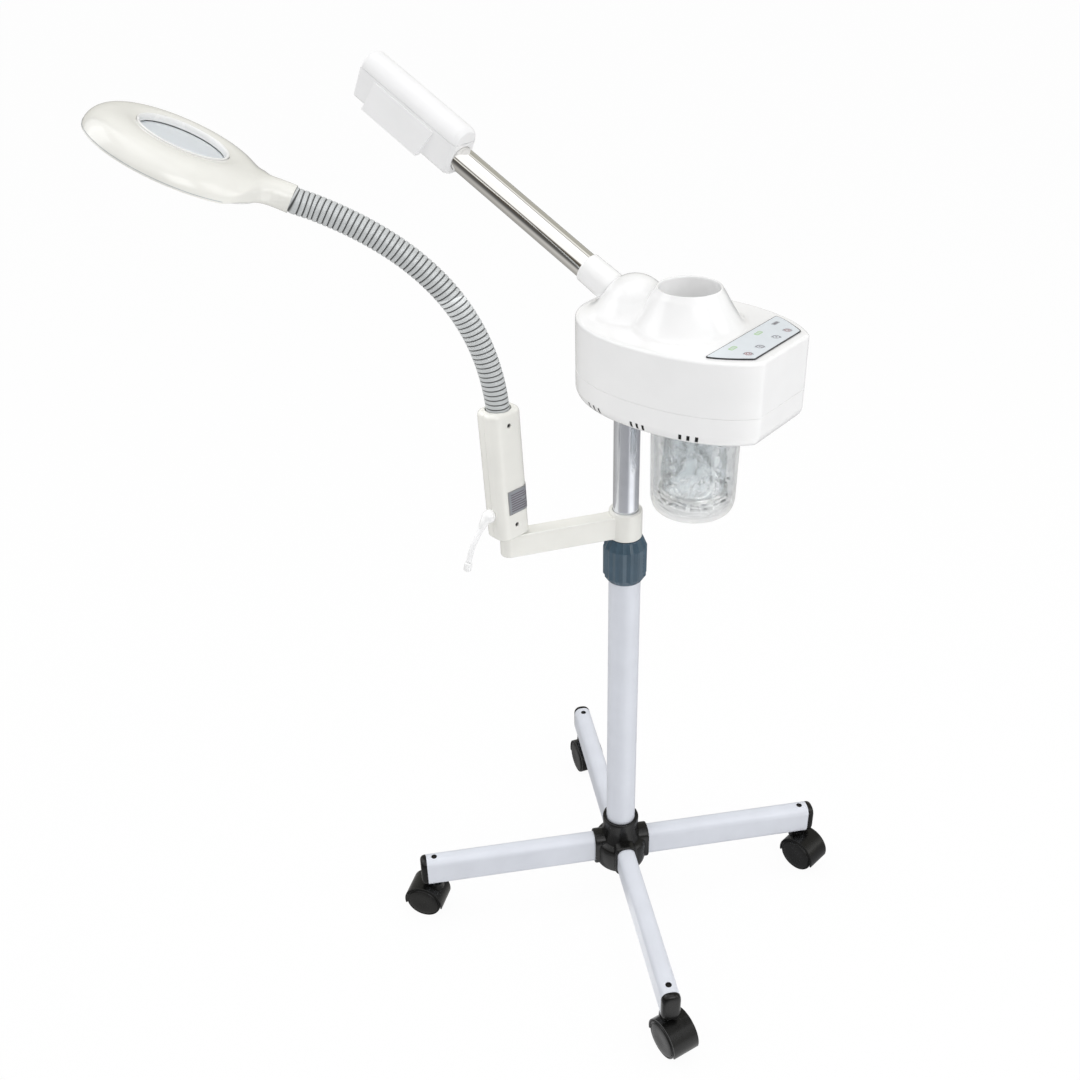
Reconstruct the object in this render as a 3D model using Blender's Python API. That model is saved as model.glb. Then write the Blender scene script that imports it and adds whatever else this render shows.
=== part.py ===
"""Floor-standing facial steamer with a magnifying lamp on a gooseneck.

All the dimensions below are in millimetres, and scaled() turns a finished mesh into metres.
+Z is up and the floor is z = 0. The steamer's panel faces +X and its spray arm points to -X.
Every piece hangs from an empty on the column's axis, or from one on its own joint's axis.
"""

import math

import bmesh
import bpy
from mathutils import Euler, Matrix, Vector

MM = 0.001
GAP = 0.3

# The column's axis, measured from the middle of the whole object's footprint.
COLUMN_X = 64.2
COLUMN_Y = 72.5

# Base
LEG_ANGLES = {"front_right": -41.3, "front_left": 48.7, "rear_left": 138.7, "rear_right": 228.7}
LEG_WIDTH = 20.0
LEG_HEIGHT = 37.0
LEG_CORNER = 8.5
LEG_WALL = 1.6
LEG_TOP = 82.0
LEG_MID = LEG_TOP - LEG_HEIGHT / 2
LEG_START = 18.3
LEG_END = 224.0
CAP_END = 231.0
STEM_RADIUS_FROM_COLUMN = 215.0
HUB_ARM = 31.0
HUB_HALF_WIDTH = 12.6
HUB_CORNER = (17.2, 21.0)
HUB_BOTTOM = 43.0
HUB_TOP = 85.0
HUB_RING_TOP = 107.5
HUB_RING_RADIUS = 19.8
TUBE_SEAT = 52.0

# Casters
WHEEL_RADIUS = 20.0
WHEEL_INNER = 4.4
WHEEL_OUTER = 16.0
AXLE_RADIUS = 3.0
HOOD_RADIUS = 22.4
HOOD_INNER = 20.8
HOOD_HALF_WIDTH = 15.0
WEB_HALF = 3.8
TRAIL = 12.0
STEM_RADIUS = 4.0
STEM_TOP = 74.0
FLANGE_RADIUS = 8.5
HOOD_TURNS = {"front_right": -20.0, "front_left": -6.0, "rear_left": -31.0, "rear_right": 203.0}

# Column
LOWER_TUBE_RADIUS = 16.0
LOWER_TUBE_BORE = 14.3
LOWER_TUBE_TOP = 440.0
UPPER_TUBE_RADIUS = 12.5
UPPER_TUBE_BORE = 11.3
UPPER_TUBE_BOTTOM = 120.0
UPPER_TUBE_TOP = 684.0
COLLAR_BOTTOM = 430.0
COLLAR_TOP = 478.2
COLLAR_RADIUS = 21.7
FLUTES = 18
FLUTE_DEPTH = 1.0

# Lamp arm and handle
ARM_RING_BOTTOM = 478.6
ARM_RING_TOP = 508.0
ARM_RING_RADIUS = 16.3
ARM_BOTTOM = 480.0
ARM_TOP = 504.0
ARM_LENGTH = 117.2
ARM_HALF_WIDTH = 8.5
ARM_TURN = -124.1
HANDLE_TURN = -9.5
HANDLE_LEAN = 2.2
HANDLE_LEAN_TOWARDS = 219.0
HANDLE_FOOT = 1.0
HANDLE_HEIGHT = 129.0
HANDLE_HALF_DEPTH = 14.0
HANDLE_HALF_WIDTH = 17.5
HANDLE_CORNER = 9.0
HANDLE_WALL = 2.4
HANDLE_SCREWS = (14.5, 115.5)
PIN_RADIUS = 4.0
PLATE_LOW = 27.0
PLATE_HIGH = 51.0
LEAD_RADIUS = 2.5

# Gooseneck, in the upright plane through the handle's foot
NECK_TURN = 219.0
NECK_RADIUS = 10.8
NECK_START = (5.2, 634.0)
NECK_START_TILT = 4.9
NECK_START_PULL = 90.3
NECK_END = (162.5, 819.6)
NECK_END_SLOPE = 20.6
NECK_END_PULL = 104.4
NECK_JOINTS = (0.30, 0.70)
NECK_LAST = 0.95
NECK_GAP = 0.6
NECK_PLUG = 14.0

# Lamp head, in its own frame: +X runs from the gooseneck to the tip, z = 0 is its lower rim
HEAD_PLACE = (-259.1, -256.0, 853.3)
HEAD_TURN = 219.0
HEAD_TILT = 28.1
HEAD_ROLL = 2.6
HEAD_RADIUS = 72.3
HEAD_DOME = 20.7
HEAD_WALL = 2.4
LENS_HOLE = 36.8
LENS_RADIUS = 35.4
LENS_EDGE = (11.3, 14.3)
LENS_CROWN = 3.6
LIGHT_BOARD = (64.0, 41.5, 3.3, 4.9)
LENS_COLLAR = (33.0, 39.0, 10.9)
LENS_RING = ((34.2, 15.4), (36.3, 14.6), (36.3, 20.3), (34.8, 20.6), (34.2, 19.6))
HEAD_NECK_X = -93.0
HEAD_NECK_Z = 12.3
HEAD_NECK_RADIUS = 11.8
HEAD_SIDES = 32

# Steamer body: a superellipse round the neck, cut flat at the panel's end
NECK_X = 61.0
BODY_LENGTH_FRONT = 107.0
BODY_LENGTH_REAR = 104.0
BODY_HALF_WIDTH = 72.0
BODY_POWER = 2.2
BODY_FRONT_X = 156.0
BODY_BOTTOM = 635.0
BODY_SEAM = 661.0
BODY_RIM = 702.5
BODY_TOP = 709.5
BODY_WALL = 2.6
WELL_RIM = 742.0
WELL_OUTER = 28.3
WELL_INNER = 25.8
WELL_BOTTOM = 690.0
CONE_FOOT = 49.0
DOME_X = 6.0
DOME_Z = 711.5
DOME_RADIUS = 30.0
COVER_SHARES = (0.0, 0.18, 0.36, 0.5, 0.62, 0.74, 0.86)

# Jar and what is over it
JAR_X = 74.0
JAR_TOP = 651.0
JAR_BOTTOM = 535.0
JAR_RADIUS_TOP = 40.5
JAR_RADIUS_BOTTOM = 38.6
JAR_WALL = 3.0
JAR_HOLE = 43.5
LID_BOTTOM = 653.4
LID_THICKNESS = 2.6
LID_RADIUS = 44.0
FUNNEL_RADIUS = 24.4
STEAM_HOLE = 7.0
HOLDER = (46.5, 41.0, 638.2, 652.8)
SOCKET_RADIUS = 17.0
SOCKET_BOTTOM = 638.0
SOCKET_TOP = 688.0
SOCKET_WIRE_HOLE = 3.0
HEATER_RADIUS = 28.5
HEATER_LEVEL = 556.5
HEATER_ROD = 2.8
HEATER_TURN = 130.0
PROBE = (18.0, 15.0)

# Spray arm, along its own axis from the dome's centre
SPRAY_RISE = 27.2
SPRAY_COLLAR = (26.0, 58.5)
SPRAY_TUBE = (30.4, 236.0)
SPRAY_TUBE_RADIUS = 12.0
NOZZLE = (222.0, 350.0)
NOZZLE_HALF = 15.0
NOZZLE_SPLIT = 15.4
NOZZLE_FLOOR = -16.0
NOZZLE_WALL = 2.4

# Control panel
PANEL_REAR_X = 113.5
PANEL_FRONT_X = 147.5
PANEL_REAR_HALF = 56.0
PANEL_FRONT_HALF = 37.5
PANEL_BOTTOM = 709.9
PANEL_TOP = 710.9
BUTTON_X = 138.0
BUTTON_PLACES = (-31.5, -13.0, 13.0, 31.5)
BUTTON_RADIUS = 3.6
BUTTON_NAMES = ("power_button", "steam_button", "ozone_button", "timer_button")
BOARD = ((112.0, -30.0, 704.4), (146.0, 30.0, 706.0))

# Mains inlet in the body's left side, as pairs of opposite corners
INLET = ((45.0, 50.0, 668.0), (77.0, 73.5, 690.0))
INLET_HOLLOW = ((49.0, 60.0, 671.0), (73.0, 80.0, 687.0))
INLET_WAY = ((44.6, 60.0, 667.6), (77.4, 80.0, 690.4))

COLOURS = {
    "black_plastic": ((0.012, 0.012, 0.013), 0.42, 0.0),
    "white_paint": ((0.72, 0.75, 0.84), 0.32, 0.0),
    "slate_plastic": ((0.09, 0.13, 0.17), 0.38, 0.0),
    "silver_paint": ((0.55, 0.57, 0.63), 0.28, 0.6),
    "ivory_plastic": ((0.80, 0.78, 0.70), 0.25, 0.0),
    "gooseneck_metal": ((0.42, 0.44, 0.46), 0.4, 0.7),
    "white_plastic": ((0.86, 0.86, 0.87), 0.22, 0.0),
    "chrome": ((0.75, 0.73, 0.70), 0.06, 1.0),
    "glass": ((0.85, 0.90, 0.92), 0.03, 0.0),
    "panel_film": ((0.60, 0.66, 0.70), 0.35, 0.0),
    "steel": ((0.55, 0.56, 0.58), 0.3, 1.0),
    "circuit_board": ((0.05, 0.22, 0.08), 0.5, 0.0),
}


# ---------------------------------------------------------------- scene and materials


def clear_scene():
    for old in list(bpy.data.objects):
        bpy.data.objects.remove(old, do_unlink=True)


def material(name):
    """The named Principled material, made on first use."""
    found = bpy.data.materials.get(name)
    if found:
        return found
    colour, roughness, metallic = COLOURS[name]
    made = bpy.data.materials.new(name)
    made.use_nodes = True
    shader = made.node_tree.nodes["Principled BSDF"]
    shader.inputs["Base Color"].default_value = (*colour, 1.0)
    shader.inputs["Roughness"].default_value = roughness
    shader.inputs["Metallic"].default_value = metallic
    if name == "glass":
        shader.inputs["Transmission Weight"].default_value = 1.0
    return made


def empty(name, parent=None, at=(0, 0, 0), turn=(0, 0, 0)):
    """An empty that carries the pieces of one moving body; turn is in degrees."""
    made = bpy.data.objects.new(name, None)
    bpy.context.scene.collection.objects.link(made)
    made.parent = parent
    made.location = Vector(at) * MM
    made.rotation_euler = Euler([math.radians(a) for a in turn])
    return made


def node(name, shape, material_name, parent, at=(0, 0, 0), turn=(0, 0, 0)):
    """One solid from a bmesh in millimetres, or from a mesh that another node already uses."""
    mesh = shape if isinstance(shape, bpy.types.Mesh) else scaled(shape, name)
    made = bpy.data.objects.new(name, mesh)
    bpy.context.scene.collection.objects.link(made)
    made.parent = parent
    made.location = Vector(at) * MM
    made.rotation_euler = Euler([math.radians(a) for a in turn])
    if not mesh.materials:
        mesh.materials.append(material(material_name))
    return made


def scaled(bm, name):
    """Turn a bmesh in millimetres into a mesh in metres, shaded smooth up to 35 degrees."""
    bmesh.ops.scale(bm, vec=(MM, MM, MM), verts=bm.verts)
    mesh = bpy.data.meshes.new(name)
    bm.to_mesh(mesh)
    bm.free()
    mesh.shade_smooth()
    mesh.set_sharp_from_angle(angle=math.radians(35))
    return mesh


# ---------------------------------------------------------------- shapes


def loft(rings, closed=False):
    """Skin rings of equally many points; closed joins the last ring to the first, or caps fill the ends."""
    bm = bmesh.new()
    made = [[bm.verts.new(p) for p in ring] for ring in rings]
    count = len(made[0])
    pairs = list(zip(made, made[1:]))
    if closed:
        pairs.append((made[-1], made[0]))
    for low, high in pairs:
        for i in range(count):
            j = (i + 1) % count
            bm.faces.new((low[i], low[j], high[j], high[i]))
    if not closed:
        bm.faces.new(list(reversed(made[0])))
        bm.faces.new(made[-1])
    return tidy(bm)


def tidy(bm):
    bmesh.ops.remove_doubles(bm, verts=bm.verts, dist=0.001)
    bmesh.ops.recalc_face_normals(bm, faces=bm.faces)
    return bm


def circle(radius, z, count=32, centre=(0, 0)):
    """A ring of points about an upright axis."""
    steps = [2 * math.pi * i / count for i in range(count)]
    return [(centre[0] + radius * math.cos(a), centre[1] + radius * math.sin(a), z) for a in steps]


def pipe(outer, inner, low, high, count=28):
    """A straight open tube."""
    profile = [(outer, low), (outer, high), (inner, high), (inner, low)]
    return turned_ring(profile, count)


def turned_ring(profile, count=28):
    """A turned piece with a bore; the profile is a closed loop of (radius, height)."""
    return loft([circle(r, z, count) for r, z in profile], closed=True)


def turned_solid(profile, count=28):
    """A turned piece without a bore; the profile runs between its two end faces."""
    return loft([circle(r, z, count) for r, z in profile])


def rounded_rectangle(half_x, half_y, corner, steps=3):
    """Outline of a rounded rectangle, counter-clockwise."""
    points = []
    for k, (sx, sy) in enumerate(((1, 1), (-1, 1), (-1, -1), (1, -1))):
        cx = sx * (half_x - corner)
        cy = sy * (half_y - corner)
        for i in range(steps + 1):
            a = math.radians(90 * k + 90 * i / steps)
            points.append((cx + corner * math.cos(a), cy + corner * math.sin(a)))
    return points


def prism(outline, low, high):
    """An outline in the XY plane, extruded along Z."""
    return loft([[(x, y, low) for x, y in outline], [(x, y, high) for x, y in outline]])


def box(low, high):
    """A plain box between two corners."""
    outline = [(low[0], low[1]), (high[0], low[1]), (high[0], high[1]), (low[0], high[1])]
    return prism(outline, low[2], high[2])


def moved(bm, at=(0, 0, 0), turn=(0, 0, 0)):
    """The shape, turned by Euler degrees and then moved."""
    matrix = Matrix.Translation(at) @ Euler([math.radians(a) for a in turn]).to_matrix().to_4x4()
    bm.transform(matrix)
    return bm


def joined(*shapes):
    """Shapes that don't touch, in one bmesh, to be used as one cutter."""
    whole = bmesh.new()
    for shape in shapes:
        mesh = bpy.data.meshes.new("part_of_cutter")
        shape.to_mesh(mesh)
        shape.free()
        whole.from_mesh(mesh)
        bpy.data.meshes.remove(mesh)
    return whole


def combined(base, other, operation):
    """The exact Boolean of two shapes, as a new bmesh; both inputs are used up."""
    pair = []
    for shape in (base, other):
        mesh = bpy.data.meshes.new("operand")
        shape.to_mesh(mesh)
        shape.free()
        made = bpy.data.objects.new("operand", mesh)
        bpy.context.scene.collection.objects.link(made)
        pair.append(made)
    modifier = pair[0].modifiers.new("boolean", "BOOLEAN")
    modifier.operation = operation
    modifier.solver = "EXACT"
    modifier.object = pair[1]
    graph = bpy.context.evaluated_depsgraph_get()
    result = bmesh.new()
    result.from_mesh(pair[0].evaluated_get(graph).to_mesh())
    for made in pair:
        used = made.data
        bpy.data.objects.remove(made, do_unlink=True)
        bpy.data.meshes.remove(used)
    bmesh.ops.remove_doubles(result, verts=result.verts, dist=0.002)
    bmesh.ops.dissolve_degenerate(result, edges=result.edges, dist=0.002)
    return result


def cut(base, *cutters):
    for cutter in cutters:
        base = combined(base, cutter, "DIFFERENCE")
    return base


def welded(base, *others):
    for other in others:
        base = combined(base, other, "UNION")
    return base


def swept(centres, radii, count=16):
    """A round bar along a curve of points, with a radius at each point."""
    rings = []
    side = None
    for i, centre in enumerate(centres):
        before = Vector(centres[max(i - 1, 0)])
        after = Vector(centres[min(i + 1, len(centres) - 1)])
        along = (after - before).normalized()
        if side is None:
            side = along.orthogonal().normalized()
        side = (side - along * side.dot(along)).normalized()
        up = along.cross(side)
        steps = [2 * math.pi * k / count for k in range(count)]
        around = [side * math.cos(a) + up * math.sin(a) for a in steps]
        rings.append([Vector(centre) + v * radii[i] for v in around])
    return loft(rings)


def bezier(points, t):
    """A point on a cubic Bezier curve."""
    p0, p1, p2, p3 = (Vector(p) for p in points)
    s = 1 - t
    return p0 * s**3 + p1 * (3 * s * s * t) + p2 * (3 * s * t * t) + p3 * t**3


# ---------------------------------------------------------------- base


def leg_outline(inset=0.0):
    half_x = LEG_WIDTH / 2 - inset
    half_y = LEG_HEIGHT / 2 - inset
    return rounded_rectangle(half_x, half_y, LEG_CORNER - inset)


def leg_ring(distance, inset=0.0, scale=1.0):
    """The leg's section at a distance from the column, standing in the YZ plane."""
    outline = leg_outline(inset)
    return [(distance, y * scale, LEG_MID + z * scale) for y, z in outline]


def leg_shape():
    rings = [leg_ring(LEG_START), leg_ring(LEG_END)]
    rings += [leg_ring(LEG_END, LEG_WALL), leg_ring(LEG_START, LEG_WALL)]
    stem_way = [(STEM_RADIUS + 0.6, LEG_TOP - LEG_HEIGHT - 4), (STEM_RADIUS + 0.6, LEG_MID)]
    plug_way = [(3.2, LEG_MID), (3.2, LEG_TOP + 4)]
    holes = turned_solid(stem_way + plug_way, 12)
    return cut(loft(rings, closed=True), moved(holes, (STEM_RADIUS_FROM_COLUMN, 0, 0)))


def leg_cap_shape():
    """A plug inside the tube, with a head that closes its end and a socket for the caster's stem."""
    inset = LEG_WALL + GAP
    rings = [leg_ring(205.0, inset), leg_ring(LEG_END + GAP, inset), leg_ring(LEG_END + GAP)]
    rings += [leg_ring(CAP_END - 2.5, 0.0, 0.99), leg_ring(CAP_END, 0.0, 0.86)]
    socket = turned_solid([(STEM_RADIUS + 0.3, 30), (STEM_RADIUS + 0.3, STEM_TOP + 1)], 12)
    return cut(loft(rings), moved(socket, (STEM_RADIUS_FROM_COLUMN, 0, 0)))


def hub_outline():
    """A cross with an arm at each leg and blunt corners between the arms."""
    near, far = HUB_CORNER
    quarter_points = ((HUB_ARM, -HUB_HALF_WIDTH), (HUB_ARM, HUB_HALF_WIDTH), (far, near), (near, far))
    points = []
    for quarter in range(4):
        a = math.radians(90 * quarter)
        for x, y in quarter_points:
            points.append((x * math.cos(a) - y * math.sin(a), x * math.sin(a) + y * math.cos(a)))
    return points


def hub_shape():
    outline = hub_outline()
    heights = ((HUB_BOTTOM, 0.86), (HUB_BOTTOM + 6, 1.0), (HUB_TOP - 3, 1.0), (HUB_TOP, 0.93))
    body = loft([[(x * s, y * s, z) for x, y in outline] for z, s in heights])
    ring_profile = [(HUB_RING_RADIUS + 3, HUB_TOP - 8), (HUB_RING_RADIUS, HUB_TOP + 6)]
    ring = turned_solid(ring_profile + [(HUB_RING_RADIUS, HUB_RING_TOP)])
    bore_radius = LOWER_TUBE_RADIUS + GAP
    bore = turned_solid([(bore_radius, TUBE_SEAT), (bore_radius, HUB_RING_TOP + 5)])
    pockets = []
    for quarter in range(4):
        section = rounded_rectangle(LEG_WIDTH / 2 + GAP, LEG_HEIGHT / 2 + GAP, LEG_CORNER)
        rings = [[(d, y, LEG_MID + z) for y, z in section] for d in (LEG_START - GAP, HUB_ARM + 5)]
        pockets.append(moved(loft(rings), turn=(0, 0, 90 * quarter)))
    return cut(welded(body, ring), bore, *pockets)


def hood_shape():
    """The caster's hood, web, flange and stem, about a stem at the origin and an axle along Y."""
    centre = (TRAIL, 0, WHEEL_RADIUS)
    arc = [math.radians(-12 + 20.4 * i) for i in range(11)]
    outer = [(HOOD_RADIUS * math.cos(a), HOOD_RADIUS * math.sin(a)) for a in arc]
    inner = [(HOOD_INNER * math.cos(a), HOOD_INNER * math.sin(a)) for a in reversed(arc)]
    band = prism(outer + inner, -HOOD_HALF_WIDTH, HOOD_HALF_WIDTH)
    low_arc = [math.radians(a) for a in range(210, 331, 30)]
    web_outline = [((HOOD_RADIUS - 0.5) * math.cos(a), (HOOD_RADIUS - 0.5) * math.sin(a)) for a in arc]
    web_outline += [(13.0 * math.cos(a), 13.0 * math.sin(a)) for a in low_arc]
    web = prism(web_outline, -WEB_HALF, WEB_HALF)
    axle_hole = turned_solid([(AXLE_RADIUS + GAP, -20), (AXLE_RADIUS + GAP, 20)], 12)
    wheel_part = cut(welded(band, web), axle_hole)
    moved(wheel_part, centre, (90, 0, 0))
    stem = [(FLANGE_RADIUS - 1, WHEEL_RADIUS + 17.5), (FLANGE_RADIUS, 41.5), (FLANGE_RADIUS, 44.4)]
    stem += [(STEM_RADIUS, 44.4), (STEM_RADIUS, STEM_TOP)]
    post = turned_solid(stem, 12)
    room = moved(turned_solid([(HOOD_INNER, -17), (HOOD_INNER, -WEB_HALF)], 20), centre, (90, 0, 0))
    other_room = moved(turned_solid([(HOOD_INNER, WEB_HALF), (HOOD_INNER, 17)], 20), centre, (90, 0, 0))
    return cut(welded(wheel_part, post), room, other_room)


def wheels_shape():
    """The pair of wheels on their axle, about the Y axis."""
    half = [(AXLE_RADIUS, 0), (AXLE_RADIUS, WHEEL_INNER), (WHEEL_RADIUS - 0.6, WHEEL_INNER)]
    half += [(WHEEL_RADIUS, WHEEL_INNER + 0.8), (WHEEL_RADIUS, WHEEL_OUTER - 1.0)]
    half += [(WHEEL_RADIUS - 2.5, WHEEL_OUTER)]
    profile = [(r, -z) for r, z in reversed(half[1:])] + half[1:]
    return moved(turned_solid(profile, 20), turn=(90, 0, 0))


def build_base(column):
    base_turn = LEG_ANGLES["front_right"]
    node("base_hub", hub_shape(), "black_plastic", column, turn=(0, 0, base_turn))
    leg_mesh = scaled(leg_shape(), "leg")
    cap_mesh = scaled(leg_cap_shape(), "leg_cap")
    hood_mesh = scaled(hood_shape(), "caster_hood")
    wheels_mesh = scaled(wheels_shape(), "caster_wheels")
    for place, angle in LEG_ANGLES.items():
        node(place + "_leg", leg_mesh, "white_paint", column, turn=(0, 0, angle))
        node(place + "_leg_cap", cap_mesh, "black_plastic", column, turn=(0, 0, angle))
        a = math.radians(angle)
        stem = (STEM_RADIUS_FROM_COLUMN * math.cos(a), STEM_RADIUS_FROM_COLUMN * math.sin(a), 0)
        swivel = empty(place + "_swivel_axis", column, stem, (0, 0, HOOD_TURNS[place]))
        node(place + "_caster_hood", hood_mesh, "black_plastic", swivel)
        node(place + "_caster_wheels", wheels_mesh, "black_plastic", swivel, (TRAIL, 0, WHEEL_RADIUS))


# ---------------------------------------------------------------- column


def clamp_collar_shape():
    """A fluted screw collar; the bore is wide over the lower tube and narrow over the upper one."""
    count = 2 * FLUTES

    def fluted(z, radius):
        steps = range(count)
        deep = [radius - FLUTE_DEPTH * (i % 2) for i in steps]
        turns = [2 * math.pi * i / count for i in steps]
        return [(r * math.cos(a), r * math.sin(a), z) for r, a in zip(deep, turns)]

    wide = LOWER_TUBE_RADIUS + 0.4
    narrow = UPPER_TUBE_RADIUS + 0.5
    rings = [circle(18.0, COLLAR_BOTTOM, count), fluted(COLLAR_BOTTOM + 5, COLLAR_RADIUS)]
    rings += [fluted(COLLAR_TOP - 9.7, COLLAR_RADIUS), circle(17.0, COLLAR_TOP, count)]
    rings += [circle(narrow, COLLAR_TOP, count), circle(narrow, 470.5, count)]
    rings += [circle(wide, 468.5, count), circle(wide, COLLAR_BOTTOM, count)]
    return loft(rings, closed=True)


def collet_shape():
    """The split bush that the collar squeezes on the upper tube; its shank sits in the lower tube."""
    shank = LOWER_TUBE_BORE - GAP
    bore = UPPER_TUBE_RADIUS + GAP
    top = LOWER_TUBE_TOP
    profile = [(shank, top - 22), (shank, top + GAP), (LOWER_TUBE_RADIUS, top + GAP)]
    profile += [(LOWER_TUBE_RADIUS, top + 10), (14.4, top + 27), (bore, top + 27), (bore, top - 22)]
    return turned_ring(profile)


def build_column(column, lift):
    lower = pipe(LOWER_TUBE_RADIUS, LOWER_TUBE_BORE, TUBE_SEAT + GAP, LOWER_TUBE_TOP)
    upper = pipe(UPPER_TUBE_RADIUS, UPPER_TUBE_BORE, UPPER_TUBE_BOTTOM, UPPER_TUBE_TOP)
    node("lower_tube", lower, "white_paint", column)
    node("collet_bush", collet_shape(), "black_plastic", column)
    node("clamp_collar", clamp_collar_shape(), "slate_plastic", column)
    node("upper_tube", upper, "silver_paint", lift)


# ---------------------------------------------------------------- lamp arm and handle


def lamp_arm_shape():
    """A ring about the column and a beam along +X with a round end."""
    ring = turned_solid([(ARM_RING_RADIUS, ARM_RING_BOTTOM), (ARM_RING_RADIUS, ARM_RING_TOP)])
    end = [math.radians(a) for a in range(-90, 91, 18)]
    outline = [(ARM_LENGTH + ARM_HALF_WIDTH * math.cos(a), ARM_HALF_WIDTH * math.sin(a)) for a in end]
    outline += [(5.0, ARM_HALF_WIDTH - 1), (5.0, 1 - ARM_HALF_WIDTH)]
    insets = ((ARM_BOTTOM, 0.9), (ARM_BOTTOM + 1, 1.0), (ARM_TOP - 1, 1.0), (ARM_TOP, 0.9))
    beam = loft([[(x, y * s, z) for x, y in outline] for z, s in insets])
    bore = turned_solid([(UPPER_TUBE_RADIUS + 0.4, 470), (UPPER_TUBE_RADIUS + 0.4, 520)])
    pin_hole = turned_solid([(PIN_RADIUS + 1.2, 470), (PIN_RADIUS + 1.2, 520)], 16)
    return cut(welded(ring, beam), bore, moved(pin_hole, (ARM_LENGTH, 0, 0)))


def handle_outline(inset=0.0):
    half_x = HANDLE_HALF_DEPTH - inset
    half_y = HANDLE_HALF_WIDTH - inset
    return rounded_rectangle(half_x, half_y, HANDLE_CORNER - inset, 4)


def handle_block():
    """The whole handle, hollow, before it is split into its two shells."""
    levels = ((HANDLE_FOOT, 1.0), (HANDLE_FOOT + 1, 0.0), (HANDLE_HEIGHT - 4, 0.0))
    levels += ((HANDLE_HEIGHT - 1.3, 1.2), (HANDLE_HEIGHT, 4.0))
    outside = loft([[(x, y, z) for x, y in handle_outline(inset)] for z, inset in levels])
    inside = prism(handle_outline(HANDLE_WALL), HANDLE_FOOT + 3, HANDLE_HEIGHT - 5)
    pin_way = turned_solid([(PIN_RADIUS + GAP, -5), (PIN_RADIUS + GAP, 10)], 20)
    way_radius = NECK_RADIUS + 0.5
    neck_way = turned_solid([(way_radius, HANDLE_HEIGHT - 10), (way_radius, HANDLE_HEIGHT + 10)], 24)
    return cut(outside, inside, pin_way, neck_way)


def handle_front_shape():
    far = 40.0
    half = combined(handle_block(), box((0.15, -far, -far), (far, far, 200)), "INTERSECT")
    holes = []
    for height in HANDLE_SCREWS:
        hole = turned_solid([(2.1, 5.0), (2.1, 20.0)], 16)
        holes.append(moved(hole, (0, 0, height), (0, 90, 0)))
    return cut(half, joined(*holes))


def handle_back_shape():
    far = 40.0
    return combined(handle_block(), box((-far, -far, -far), (-0.15, far, 200)), "INTERSECT")


def rating_plate_shape():
    """A thin blank plate that wraps round the front shell's edge."""
    outline = handle_outline()
    flat = [(HANDLE_HALF_DEPTH, -8.0 + 4.0 * i) for i in range(5)]
    corner = [p for p in outline if p[0] > 9.0 and p[1] > HANDLE_HALF_WIDTH - HANDLE_CORNER + 1]
    path = flat + sorted(corner, key=lambda p: p[1])
    inner = [offset_point(p, GAP) for p in path]
    outer = [offset_point(p, GAP + 0.6) for p in path]
    return prism(outer + list(reversed(inner)), PLATE_LOW, PLATE_HIGH)


def offset_point(point, distance):
    """Move a point on the handle's outline straight out of the surface."""
    cx = HANDLE_HALF_DEPTH - HANDLE_CORNER
    cy = max(min(point[1], HANDLE_HALF_WIDTH - HANDLE_CORNER), HANDLE_CORNER - HANDLE_HALF_WIDTH)
    out = Vector((point[0] - cx, point[1] - cy)).normalized()
    return (point[0] + out.x * distance, point[1] + out.y * distance)


def lead_boot_shape():
    """The soft boot where the lead leaves the narrow face, curving out and down."""
    face = -HANDLE_HALF_WIDTH - GAP
    start, middle, end = Vector((0, face, 27)), Vector((0, face - 8, 27)), Vector((0, -31, 18))
    steps = [i / 5 for i in range(6)]
    centres = [start * (1 - t) ** 2 + middle * (2 * t * (1 - t)) + end * t * t for t in steps]
    root = [start, start + Vector((0, -0.8, 0))]
    return swept(root + centres[1:], [5.4, 5.8, 6.4, 6.2, 5.3, 4.1, 3.1], 12)


LEAD_ROUTE = (
    (0.0, -31.3, 17.7),
    (0.0, -33.5, 15.4),
    (0.0, -36.0, 12.6),
    (0.0, -38.5, 9.6),
    (0.0, -40.8, 6.6),
    (0.0, -42.9, 3.4),
    (0.0, -44.8, 0.1),
    (0.0, -46.6, -3.4),
    (0.0, -48.2, -7.0),
    (0.0, -49.4, -10.2),
)


def lead_object(parent):
    """The short free lead: a plain tube along a POLY spline, with filled caps."""
    data = bpy.data.curves.new("lamp_lead", "CURVE")
    data.dimensions = "3D"
    data.bevel_depth = LEAD_RADIUS * MM
    data.bevel_resolution = 3
    data.use_fill_caps = True
    spline = data.splines.new("POLY")
    spline.points.add(len(LEAD_ROUTE) - 1)
    for point, place in zip(spline.points, LEAD_ROUTE):
        point.co = (*(Vector(place) * MM), 1.0)
    made = bpy.data.objects.new("lamp_lead", data)
    bpy.context.scene.collection.objects.link(made)
    made.parent = parent
    data.materials.append(material("white_plastic"))
    return made


def lead_connector_shape():
    """The small barrel on the lead's end, in line with its last stretch."""
    end = Vector(LEAD_ROUTE[-1])
    along = (end - Vector(LEAD_ROUTE[-2])).normalized()
    steps = ((GAP, 3.0), (1.5, 3.6), (7.0, 3.6), (8.6, 2.6), (9.2, 1.2))
    return swept([end + along * t for t, _ in steps], [r for _, r in steps], 12)


def handle_lean():
    """The lean of the handle's axis, as Euler degrees about X and Y in the handle's own frame."""
    towards = math.radians(HANDLE_LEAN_TOWARDS - HANDLE_TURN)
    return (-HANDLE_LEAN * math.sin(towards), HANDLE_LEAN * math.cos(towards), 0)


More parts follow.
